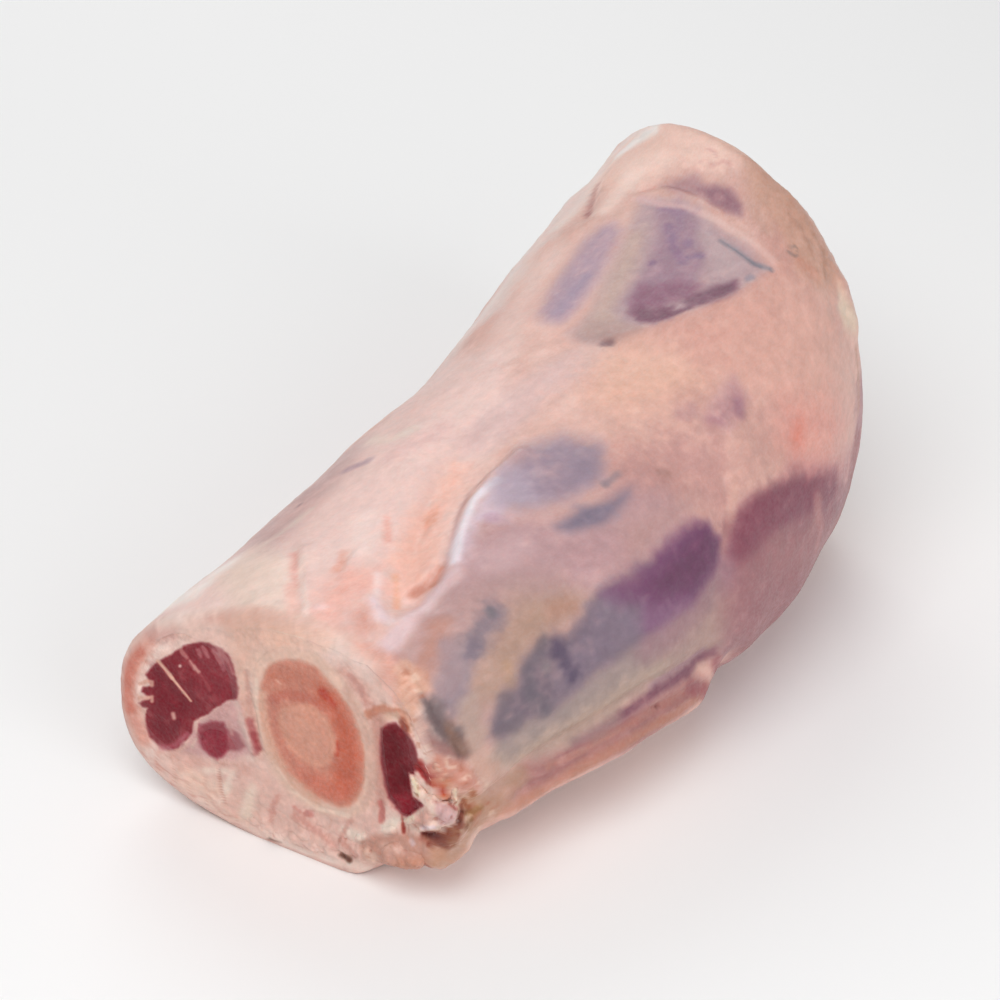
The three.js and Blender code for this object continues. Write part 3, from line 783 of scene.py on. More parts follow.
# The wide end: fat, dry skin and wine-coloured muscle, with painted highlights on its lit top edge.
WIDE_END = [
    (FIELD, (244, 203, 188), 0.9, 6, 3, [
        (600, 165), (650, 120), (700, 124), (740, 145), (722, 174), (680, 168), (640, 185),
        (610, 190), (580, 190)]),
    # Painted highlights: a pale stroke along the lit top edge, and a small bright spot on top.
    (STROKE, (244, 216, 204), 0.7, 4.0, 2.0, [(645, 130), (600, 175), (560, 225)]),
    (STROKE, (232, 226, 222), 0.8, 2.0, 1.0, [(652, 124), (664, 121)]),
    (FIELD, (164, 124, 126), 1.0, 6, 3, [
        (722, 552), (735, 545), (760, 545), (800, 560), (835, 540), (850, 500), (862, 500),
        (850, 560), (810, 610), (760, 650), (720, 662), (700, 640), (712, 590)]),
    (FIELD, (158, 108, 114), 0.9, 5, 2, [
        (745, 545), (780, 525), (820, 500), (850, 490), (838, 540), (800, 560), (760, 568)]),
    (STROKE, (150, 104, 112), 0.9, 8, 2, [(742, 545), (775, 518), (815, 500), (848, 494)]),
    (FIELD, (140, 90, 102), 1.0, 2.4, 1.6, [
        (726, 552), (728, 528), (738, 510), (752, 497), (775, 485), (792, 478), (815, 474),
        (834, 472), (842, 486), (822, 502), (800, 516), (775, 532), (755, 550), (735, 560)]),
    (STROKE, (158, 94, 94), 0.85, 4.5, 1.5, [(856, 440), (858, 500), (848, 548), (832, 580)]),
    (STROKE, (188, 142, 138), 0.45, 3.4, 2.4, [(822, 496), (818, 516), (812, 532)]),
    (STROKE, (150, 106, 113), 0.5, 4.0, 2.0, [(720, 652), (756, 636), (800, 600), (836, 556)]),
    (FIELD, (190, 134, 136), 0.8, 5, 2.5, [
        (790, 455), (852, 445), (852, 478), (800, 476), (778, 486)]),
    (STROKE, (206, 164, 152), 0.8, 1.9, 0.8, [(735, 480), (733, 505), (730, 530), (722, 550)]),
    (FIELD, (233, 185, 165), 0.8, 8, 3, [
        (590, 350), (640, 345), (680, 360), (700, 380), (660, 400), (620, 410), (590, 400)]),
    (FIELD, (220, 174, 162), 0.7, 9, 3, [
        (720, 320), (790, 290), (836, 320), (845, 390), (790, 400), (740, 370)]),
    (FIELD, (189, 146, 151), 0.8, 3.5, 2.5, [
        (703, 420), (715, 405), (725, 390), (735, 378), (748, 398), (742, 415), (728, 425),
        (710, 428)]),
    (STROKE, (172, 129, 142), 0.7, 2.8, 1.5, [(738, 402), (739, 412)]),
    (STROKE, (175, 132, 142), 0.7, 2.2, 1.2, [(712, 421), (720, 420)]),
    (STROKE, (196, 154, 154), 0.6, 3.6, 2.0, [(682, 412), (690, 410)]),
    (STROKE, (207, 160, 154), 0.6, 4.0, 2.0, [(715, 430), (718, 455), (712, 480)]),
    (FIELD, (223, 158, 148), 0.7, 8, 3, [
        (780, 400), (830, 395), (850, 420), (840, 450), (800, 460), (775, 450)]),
    (FIELD, (213, 136, 122), 0.8, 3.5, 2, [
        (788, 440), (792, 425), (800, 415), (806, 430), (803, 445), (795, 450)]),
    (FIELD, (205, 161, 143), 0.9, 5, 3, [
        (745, 165), (775, 180), (800, 205), (830, 245), (842, 275), (842, 290), (820, 285),
        (800, 270), (785, 240), (765, 215), (750, 200)]),
    (STROKE, (206, 150, 133), 0.7, 3.0, 1.5, [(800, 262), (816, 276)]),
    (STROKE, (184, 140, 122), 0.6, 1.3, 1.4, [(812, 232), (824, 252), (824, 276)]),
    (STROKE, (182, 138, 122), 0.5, 1.6, 1.6, [(790, 216), (806, 240), (818, 270)]),
    (STROKE, (150, 130, 126), 0.65, 0.7, 0.4, [
        (791, 247), (796, 246), (798, 251), (795, 256), (790, 253)]),
    (FIELD, (229, 206, 187), 0.95, 2.5, 1, [
        (838, 285), (850, 300), (862, 315), (856, 335), (845, 330), (838, 310)]),
    (STROKE, (194, 148, 130), 0.8, 2.0, 1.0, [(855, 350), (859, 385), (858, 412)]),
    (STROKE, (208, 150, 144), 0.5, 1.0, 1.2, [(709, 149), (714, 152), (718, 158)]),
    (STROKE, (208, 150, 144), 0.45, 1.0, 1.4, [
        (696, 164), (704, 160), (712, 166), (722, 161), (731, 165)]),
    (STROKE, (212, 156, 146), 0.4, 1.4, 1.6, [(684, 172), (694, 168), (702, 173)]),
]
# The window in the fat on top, where violet muscle shows.
WINDOW = [
    (FIELD, (184, 154, 158), 1.0, 3.4, 2, [
        (640, 199), (660, 199), (690, 205), (715, 222), (740, 240), (768, 268), (755, 278),
        (735, 292), (700, 306), (660, 324), (630, 332), (600, 345), (575, 341), (568, 332),
        (590, 310), (600, 290), (615, 260), (625, 235)]),
    (FIELD, (160, 126, 142), 0.9, 3.2, 3, [
        (655, 205), (680, 205), (695, 215), (700, 240), (706, 260), (690, 288), (660, 302),
        (635, 312), (620, 302), (640, 280), (650, 255), (658, 235)]),
    (STROKE, (150, 120, 145), 0.8, 2.4, 1.5, [(687, 243)]),
    (STROKE, (158, 126, 147), 0.7, 2.0, 1.5, [(676, 210), (680, 225), (672, 240)]),
    (STROKE, (138, 106, 134), 0.85, 1.6, 1.0, [(652, 262)]),
    (STROKE, (144, 112, 140), 0.7, 2.0, 1.6, [(668, 226), (674, 246), (684, 262)]),
    (STROKE, (150, 118, 144), 0.6, 2.4, 1.8, [(664, 208), (682, 214)]),
    (STROKE, (138, 110, 138), 0.8, 1.6, 1.2, [(688, 258), (702, 256)]),
    (FIELD, (192, 165, 167), 0.8, 3, 1.5, [
        (705, 235), (730, 245), (750, 262), (765, 270), (740, 280), (715, 275)]),
    (FIELD, (146, 100, 120), 0.9, 2.6, 2, [
        (640, 285), (680, 280), (700, 285), (690, 298), (650, 310), (628, 318), (630, 300)]),
    (STROKE, (128, 84, 104), 0.8, 1.6, 1.0, [(640, 318), (664, 317), (690, 307)]),
    (FIELD, (128, 82, 102), 0.95, 2.0, 1.4, [
        (627, 312), (640, 305), (655, 308), (675, 306), (672, 318), (655, 324), (640, 323)]),
    (FIELD, (120, 76, 96), 0.95, 2.0, 1.4, [
        (682, 300), (700, 292), (720, 284), (735, 280), (738, 290), (725, 299), (705, 305),
        (688, 307)]),
    (FIELD, (200, 170, 158), 0.85, 3.6, 2, [
        (625, 235), (645, 225), (640, 260), (625, 290), (615, 310), (622, 326), (600, 334),
        (574, 336), (590, 310), (605, 285), (618, 255)]),
    (FIELD, (180, 148, 142), 0.85, 3, 2, [
        (588, 318), (620, 320), (644, 330), (612, 345), (580, 341)]),
    (STROKE, (140, 110, 114), 0.75, 1.4, 0.8, [(604, 342), (613, 342)]),
    (FIELD, (174, 146, 162), 0.95, 3.6, 2, [
        (612, 222), (621, 230), (618, 245), (605, 265), (590, 290), (578, 310), (562, 322),
        (545, 320), (538, 312), (548, 295), (565, 270), (580, 248), (598, 228)]),
    (STROKE, (164, 144, 166), 0.6, 3.0, 1.5, [(584, 276), (560, 310)]),
    (STROKE, (216, 176, 174), 0.85, 2.0, 1.0, [(640, 200), (660, 205), (686, 207), (704, 215)]),
    (STROKE, (226, 188, 180), 0.8, 1.6, 0.8, [(704, 214), (730, 228), (758, 246), (773, 262)]),
    (STROKE, (132, 130, 140), 0.85, 1.1, 0.5, [(720, 240), (738, 250), (752, 262), (770, 270)]),
    (STROKE, (150, 140, 152), 0.8, 1.5, 0.8, [(746, 279), (752, 277)]),
    (FIELD, (176, 132, 136), 0.9, 2.4, 1.5, [
        (660, 185), (680, 178), (695, 175), (705, 184), (700, 196), (685, 196), (668, 192)]),
    (FIELD, (150, 104, 116), 1.0, 2.4, 1.6, [
        (700, 190), (716, 184), (730, 190), (742, 203), (740, 214), (725, 212), (710, 204)]),
    (STROKE, (202, 160, 145), 0.7, 3.5, 2.0, [(756, 212), (766, 226)]),
    (STROKE, (220, 160, 150), 0.7, 1.0, 0.5, [(640, 192), (655, 186)]),
    (STROKE, (184, 130, 126), 0.75, 1.5, 0.2, [(597, 184), (591, 203), (586, 216)]),
    (STROKE, (152, 98, 100), 0.7, 1.5, 0.3, [(588, 213)]),
]
# The low right side, darker partly by its own mauve and partly by painted shade; painted highlights
# along the lit upper-left edge of the outline; and last touches over the rest.
EDGES = [
    # Painted shade with the side's own mauve: the low right side darker toward the floor.
    (STROKE, (164, 120, 122), 0.8, 13, 4, [(770, 572), (806, 566), (836, 540)]),
    (STROKE, (166, 124, 126), 0.75, 12, 4, [(740, 610), (786, 606), (818, 580)]),
    (STROKE, (164, 112, 114), 0.75, 8, 3, [
        (852, 470), (850, 510), (838, 550), (812, 590), (776, 626), (744, 650)]),
    (STROKE, (166, 102, 104), 0.8, 4, 2, [(858, 446), (858, 500), (850, 544)]),
    (STROKE, (140, 90, 102), 0.7, 6, 2.5, [(738, 540), (760, 512), (796, 492), (832, 484)]),
    (STROKE, (164, 104, 108), 0.85, 2.6, 1.2, [(716, 662), (706, 672), (690, 686)]),
    # Painted highlight on the lit top edge.
    (STROKE, (250, 218, 206), 0.5, 8, 4, [(630, 166), (656, 158)]),
    # Painted shade with the side's own mauve, low on the right.
    (FIELD, (158, 108, 114), 0.55, 8, 4, [
        (742, 560), (800, 566), (838, 552), (812, 592), (776, 628), (744, 640), (726, 612)]),
    (STROKE, (192, 138, 136), 0.6, 3.2, 3, [(816, 500), (821, 530), (816, 548)]),
    # Painted highlights along the lit upper-left edge.
    (STROKE, (252, 224, 212), 0.7, 5, 4, [(606, 208), (616, 194), (632, 176)]),
    (STROKE, (248, 220, 212), 0.5, 7, 5, [(500, 354), (514, 308), (550, 254)]),
    (STROKE, (254, 246, 242), 0.9, 5, 3, [(622, 152), (640, 138), (654, 130)]),
    (STROKE, (186, 149, 151), 0.6, 8, 3, [(585, 556), (618, 558)]),
    (STROKE, (176, 151, 141), 0.65, 5, 2, [(540, 750), (575, 735), (610, 716)]),
    (STROKE, (208, 176, 178), 0.6, 5, 2.5, [(486, 562), (504, 556), (522, 544)]),
    # Painted highlights along the lit upper-left edge, down to the near cut's upper rim.
    (STROKE, (244, 228, 222), 0.6, 9, 6, [
        (478, 322), (512, 282), (545, 235), (575, 200), (602, 165), (640, 130)]),
    (STROKE, (254, 242, 235), 0.9, 6, 3, [(168, 606), (196, 590), (226, 566)]),
]
SKIN_PAINT = TONES + FASCIA + CALF + WIDE_END + DARK_BAND + FLAP + WINDOW + EDGES

# The sides that the photograph hides, in the same way, with strokes along (x, degrees).
HIDDEN_PAINT = [
    (STROKE, (206, 160, 158), 0.7, 26, 6, [(30, 172), (70, 196), (110, 200)]),
    (STROKE, (176, 140, 150), 0.8, 12, 4, [(40, 178), (76, 192), (112, 190)]),
    (STROKE, (150, 112, 130), 0.7, 6, 3, [(52, 184), (84, 190)]),
    (STROKE, (186, 152, 156), 0.7, 10, 4, [(-96, 150), (-40, 160), (10, 156)]),
    (STROKE, (156, 130, 144), 0.6, 5, 3, [(-80, 152), (-44, 158)]),
    (STROKE, (194, 158, 154), 0.6, 14, 5, [(-120, 186), (-60, 200), (0, 204)]),
    (STROKE, (230, 192, 182), 0.8, 2, 1, [(-130, 168), (-60, 178), (20, 176), (90, 168)]),
    (STROKE, (226, 190, 180), 0.7, 2, 1, [(-100, 128), (-30, 138), (40, 150)]),
    (STROKE, (178, 134, 140), 0.7, 16, 5, [(20, -30), (70, -40), (120, -34)]),
    (STROKE, (158, 112, 126), 0.6, 9, 4, [(110, -20), (130, 0), (136, 18)]),
    (STROKE, (212, 168, 156), 0.6, 22, 5, [(-80, -60), (0, -70), (90, -70)]),
    (STROKE, (198, 152, 148), 0.6, 14, 5, [(-90, 230), (0, 240), (90, 236)]),
]
# How much softer and more ragged the skin's fields are laid than the tables say.
SKIN_SOFTNESS = 1.35
# A number below 1 draws the skin's patterns out along the leg.
SKIN_DRAWN = 0.7


def paint_skin(x, around):
    """The colours of the whole skin, as if neither end had been cut."""
    flat = sheet(x, around)
    drawn = flat * np.array([SKIN_DRAWN, 1.0, 1.0])
    wide = rough_noise(drawn, 14.0, 101)
    blots = rough_noise(drawn, 4.0, 103, 2)
    specks = lattice_noise(flat, 1.9, 107)
    ragged = 0.5 * wide + 0.55 * blots + 0.25 * specks
    worn = 1.0 - 0.26 * smoothstep(-0.1, 0.9, blots) - 0.08 * smoothstep(0.0, 0.8, specks)
    paint = Paint(len(x), (224, 180, 168))
    paint.lay((236, 198, 187), 0.8 * smoothstep(0.0, 0.9, wide))
    paint.lay((213, 165, 155), 0.7 * smoothstep(0.1, 1.0, -wide))
    lay_all(paint, x, around, HIDDEN_PAINT, SKIN.degrees, ragged, 1.0)
    lay_all(paint, x, around, SKIN_PAINT, SKIN.path, ragged, worn, SKIN_SOFTNESS)
    return paint.colour * (1.0 + 0.030 * blots + 0.022 * specks)[:, None]


# ------------------------------------------------------------------ paint on the near cut
# In the same way, as the photograph shows it: the sawn fat first.
CUT_FAT = [
    (FIELD, (250, 232, 224), 0.7, 4, 3, [
        (150, 622), (196, 586), (236, 556), (262, 576), (226, 602), (182, 624)]),
    (FIELD, (222, 178, 160), 0.8, 4, 2, [
        (222, 620), (250, 612), (292, 622), (300, 645), (280, 656), (256, 668), (240, 690),
        (234, 660)]),
    (STROKE, (222, 152, 136), 0.7, 3.0, 1.4, [
        (150, 642), (134, 664), (128, 690), (132, 714), (144, 738)]),
    (STROKE, (206, 124, 108), 0.85, 2.0, 1.2, [
        (140, 652), (130, 668), (127, 682), (127, 696), (130, 708)]),
    (STROKE, (208, 158, 150), 0.6, 3.0, 1.6, [(154, 634), (170, 636)]),
    (FIELD, (220, 164, 150), 0.8, 3.4, 2.4, [
        (350, 640), (385, 638), (415, 656), (428, 692), (424, 712), (398, 700), (370, 672)]),
    (STROKE, (206, 152, 140), 0.55, 2.6, 1.5, [(344, 672), (362, 692), (372, 712)]),
    (STROKE, (244, 216, 206), 0.75, 4.0, 2.0, [(326, 646), (350, 656), (370, 668)]),
    (STROKE, (242, 198, 178), 0.6, 4.0, 2.0, [(272, 638), (300, 638), (322, 642)]),
    (STROKE, (238, 204, 186), 0.6, 5.0, 2.5, [(192, 778), (226, 798), (250, 812)]),
    (STROKE, (208, 160, 146), 0.65, 3.0, 1.2, [(240, 690), (250, 724), (258, 752)]),
    (STROKE, (216, 160, 144), 0.55, 3.4, 1.6, [(372, 726), (376, 770), (374, 800)]),
    (STROKE, (206, 138, 130), 0.6, 1.6, 1.2, [(384, 722), (381, 750), (384, 780), (394, 806)]),
    (STROKE, (216, 166, 154), 0.6, 3.0, 1.5, [(176, 752), (210, 768), (248, 770)]),
    (STROKE, (252, 238, 228), 0.85, 3.6, 1.8, [(262, 832), (300, 848), (336, 860)]),
    (STROKE, (250, 234, 222), 0.8, 3.0, 1.6, [(352, 860), (372, 866)]),
    (FIELD, (224, 184, 172), 0.8, 3, 2, [
        (262, 770), (300, 800), (380, 815), (430, 850), (400, 870), (330, 862), (260, 835),
        (215, 800)]),
    (STROKE, (240, 218, 204), 0.8, 1.6, 1.0, [(206, 770), (232, 772), (222, 800)]),
    (STROKE, (204, 150, 138), 0.8, 0.5, 0.2, [(219, 770), (221, 788), (225, 802)]),
    (STROKE, (236, 214, 198), 0.8, 2.4, 1.5, [(252, 790), (246, 812)]),
    (STROKE, (204, 140, 128), 0.5, 1.1, 1.3, [(278, 796), (273, 806), (271, 820)]),
    (STROKE, (200, 128, 120), 0.6, 1.0, 1.2, [(294, 806), (300, 811)]),
    (STROKE, (196, 120, 114), 0.6, 1.0, 1.2, [(306, 813), (311, 815)]),
    (STROKE, (208, 144, 132), 0.55, 1.6, 1.4, [(296, 816), (318, 832), (334, 846)]),
    (STROKE, (240, 222, 208), 0.8, 2.0, 1.2, [(345, 830), (362, 838)]),
    (STROKE, (238, 220, 206), 0.8, 2.0, 1.2, [(386, 828), (394, 824)]),
    (STROKE, (206, 152, 140), 0.7, 1.0, 0.6, [(350, 820), (340, 840), (356, 856)]),
    # Painted shadow: dark spots at the bottom rim, in the dents where the cut meets the floor.
    (STROKE, (120, 82, 62), 0.7, 0.9, 0.6, [(244, 830), (250, 838)]),
    (STROKE, (92, 50, 40), 0.85, 0.8, 0.5, [(269, 840), (280, 845)]),
    (STROKE, (104, 64, 50), 0.85, 1.0, 0.6, [(341, 855), (350, 860)]),
    (STROKE, (228, 192, 176), 0.8, 3.0, 1.5, [(240, 690), (252, 660), (262, 652)]),
    (STROKE, (202, 154, 142), 0.7, 1.2, 0.6, [(246, 672), (250, 700), (256, 720)]),
    (STROKE, (200, 148, 138), 0.7, 1.2, 0.8, [(350, 676), (362, 690), (366, 704)]),
    (STROKE, (192, 124, 100), 0.7, 1.7, 1.4, [
        (368, 714), (382, 710), (396, 710), (404, 718), (407, 732)]),
    (STROKE, (150, 70, 52), 0.75, 1.2, 0.8, [(402, 719), (405, 730)]),
    (STROKE, (222, 184, 164), 0.8, 1.6, 0.8, [(384, 718), (396, 716)]),
]
# The hard bone, the spongy bone and the marrow.
CUT_BONE = [
    (FIELD, (227, 191, 174), 0.9, 1.6, 0.6, [
        (262, 654), (290, 648), (318, 654), (340, 674), (360, 704), (374, 738), (378, 775),
        (368, 808), (350, 820), (320, 814), (290, 796), (270, 768), (258, 735), (252, 700),
        (254, 672)]),
    (STROKE, (240, 214, 198), 0.7, 0.8, 0.4, [
        (256, 680), (257, 705), (264, 735), (275, 762), (292, 790), (320, 809), (348, 816)]),
    (STROKE, (214, 172, 158), 0.7, 1.4, 0.6, [
        (345, 690), (362, 720), (370, 750), (372, 785), (364, 806)]),
    (FIELD, (206, 140, 122), 1.0, 1.4, 0.7, [
        (272, 663), (285, 659), (300, 661), (316, 667), (328, 680), (340, 695), (350, 710),
        (358, 730), (364, 752), (365, 775), (360, 796), (350, 807), (340, 808), (325, 801),
        (305, 790), (290, 778), (278, 762), (268, 745), (262, 725), (260, 705), (261, 685),
        (265, 671)]),
    (STROKE, (224, 178, 158), 0.8, 2.1, 0.8, [
        (263, 696), (266, 728), (275, 756), (293, 782), (317, 800)]),
    (STROKE, (202, 132, 114), 0.8, 3.0, 1.0, [(276, 676), (296, 676), (314, 686)]),
    (STROKE, (203, 134, 118), 0.7, 2.2, 1.0, [(273, 700), (276, 730), (290, 758), (312, 778)]),
    (STROKE, (196, 118, 104), 0.7, 2.0, 1.0, [(274, 698), (290, 694), (308, 697), (322, 706)]),
    (FIELD, (199, 108, 88), 0.85, 3.0, 1.2, [
        (318, 684), (334, 694), (346, 712), (355, 735), (360, 760), (358, 785), (346, 800),
        (330, 790), (334, 765), (338, 740), (330, 715), (318, 700)]),
    (FIELD, (209, 124, 106), 0.7, 2.4, 1.2, [
        (290, 770), (320, 775), (345, 795), (340, 806), (318, 796)]),
    (STROKE, (190, 84, 64), 0.8, 1.6, 0.8, [(322, 692), (334, 704)]),
    (STROKE, (192, 82, 64), 0.8, 1.0, 0.5, [(337, 742), (337, 754)]),
    (FIELD, (222, 168, 146), 0.8, 1.6, 0.9, [
        (283, 709), (294, 705), (306, 706), (318, 712), (328, 721), (335, 737), (335, 752),
        (328, 764), (316, 767), (303, 761), (290, 748), (282, 733), (278, 718)]),
    (FIELD, (214, 153, 134), 0.9, 2.2, 1.0, [
        (285, 711), (294, 708), (304, 709), (316, 714), (326, 724), (332, 738), (332, 752),
        (326, 762), (316, 764), (304, 758), (292, 746), (285, 732), (281, 718)]),
    (FIELD, (218, 162, 142), 0.6, 2.4, 1.2, [
        (290, 712), (302, 712), (314, 722), (322, 738), (322, 750), (312, 754), (300, 746),
        (291, 730)]),
    (STROKE, (224, 170, 152), 0.8, 0.5, 0.2, [(276, 680), (281, 684)]),
]
CUT_LEFT_MUSCLE = [
    (FIELD, (140, 58, 68), 1.0, 0.7, 0.7, [
        (184, 646), (192, 643), (200, 642), (208, 643), (214, 646), (222, 649), (228, 655),
        (232, 664), (236, 678), (238, 692), (236, 699), (226, 700), (218, 706), (208, 714),
        (200, 718), (194, 722), (192, 732), (186, 740), (178, 748), (168, 750), (158, 746),
        (150, 738), (146, 726), (145, 714), (148, 708), (142, 707), (139, 703), (144, 700),
        (151, 698), (146, 695), (142, 692), (143, 687), (150, 685), (148, 680), (145, 675),
        (149, 669), (156, 663), (163, 659), (171, 655), (178, 650)]),
    (FIELD, (124, 42, 54), 0.6, 2.2, 1.8, [
        (150, 664), (172, 664), (192, 700), (188, 724), (168, 740), (152, 730), (156, 700)]),
    (FIELD, (150, 70, 80), 0.5, 2.4, 1.8, [
        (196, 650), (226, 656), (234, 690), (212, 704), (200, 684)]),
    (STROKE, (228, 182, 162), 0.95, 0.75, 0.25, [(158, 661), (164, 668), (172, 678)]),
    (STROKE, (228, 182, 162), 0.95, 0.55, 0.25, [(170, 675), (181, 689), (191, 701)]),
    (STROKE, (206, 146, 140), 0.7, 0.8, 0.7, [(181, 651), (187, 658)]),
    (STROKE, (218, 168, 158), 0.85, 0.8, 0.6, [(190, 661), (195, 668), (199, 672)]),
    (STROKE, (168, 96, 100), 0.7, 0.6, 0.5, [(200, 674), (206, 682), (210, 690)]),
    (STROKE, (188, 124, 126), 0.75, 0.7, 0.9, [(198, 650), (201, 657)]),
    (STROKE, (188, 124, 126), 0.75, 0.7, 0.9, [(203, 647), (208, 657)]),
    (STROKE, (192, 132, 132), 0.75, 0.8, 0.9, [(213, 650), (221, 662)]),
    (STROKE, (196, 138, 136), 0.75, 0.8, 0.9, [(218, 649), (228, 661), (233, 674)]),
    (STROKE, (178, 112, 116), 0.7, 0.8, 0.9, [(221, 660), (224, 669)]),
    (STROKE, (214, 168, 156), 0.9, 0.8, 0.3, [(173, 714), (174, 718)]),
    (STROKE, (226, 188, 178), 0.95, 0.6, 0.1, [(180, 666)]),
    (STROKE, (222, 172, 156), 0.85, 0.7, 0.3, [(140, 684), (147, 681), (152, 682), (152, 685)]),
    (STROKE, (222, 172, 156), 0.85, 0.7, 0.3, [(139, 698), (147, 698), (152, 697), (152, 701)]),
    (STROKE, (190, 116, 124), 0.7, 1.2, 0.9, [(162, 748), (176, 745), (187, 734)]),
]
CUT_SMALL_MUSCLE = [
    (FIELD, (206, 160, 158), 0.8, 1.6, 0.8, [
        (192, 724), (206, 716), (224, 702), (238, 700), (246, 728), (254, 752), (236, 760),
        (200, 756), (182, 752), (190, 740)]),
    (STROKE, (222, 190, 180), 0.8, 1.0, 0.5, [(236, 702), (242, 722), (250, 744), (256, 760)]),
    (STROKE, (222, 188, 176), 0.8, 0.7, 0.4, [(196, 722), (198, 736), (192, 746)]),
    (FIELD, (148, 64, 78), 1.0, 1.1, 0.8, [
        (199, 724), (210, 720), (224, 722), (228, 732), (229, 748), (224, 754), (217, 759),
        (208, 754), (201, 746), (198, 734)]),
    (FIELD, (158, 92, 98), 0.85, 1.0, 0.6, [
        (228, 728), (238, 732), (246, 746), (240, 752), (228, 750)]),
    (STROKE, (206, 158, 152), 0.7, 0.7, 0.3, [(228, 722), (232, 734)]),
    (STROKE, (140, 46, 54), 0.9, 1.5, 0.7, [(254, 734), (259, 747)]),
    (STROKE, (172, 88, 90), 0.7, 1.4, 0.9, [(250, 722), (254, 738), (256, 752)]),
]
CUT_RIGHT_MUSCLE = [
    (FIELD, (196, 146, 134), 0.7, 1.6, 0.8, [
        (372, 716), (384, 712), (388, 800), (380, 820), (376, 780)]),
    (FIELD, (126, 40, 50), 1.0, 1.0, 0.7, [
        (382, 728), (388, 724), (396, 723), (404, 730), (411, 738), (416, 748), (418, 760),
        (420, 768), (414, 772), (411, 784), (413, 796), (420, 801), (424, 806), (417, 811),
        (411, 816), (403, 816), (396, 808), (389, 797), (384, 783), (381, 765), (380, 745)]),
    (FIELD, (110, 28, 38), 0.8, 1.8, 1.0, [
        (385, 732), (394, 728), (402, 744), (408, 768), (408, 790), (396, 794), (388, 776),
        (384, 752)]),
    (FIELD, (148, 50, 64), 0.85, 1.8, 1.0, [
        (392, 796), (410, 796), (424, 804), (410, 816), (402, 816)]),
    (FIELD, (126, 46, 56), 0.7, 1.4, 0.8, [
        (400, 738), (412, 742), (417, 760), (408, 766), (401, 752)]),
]
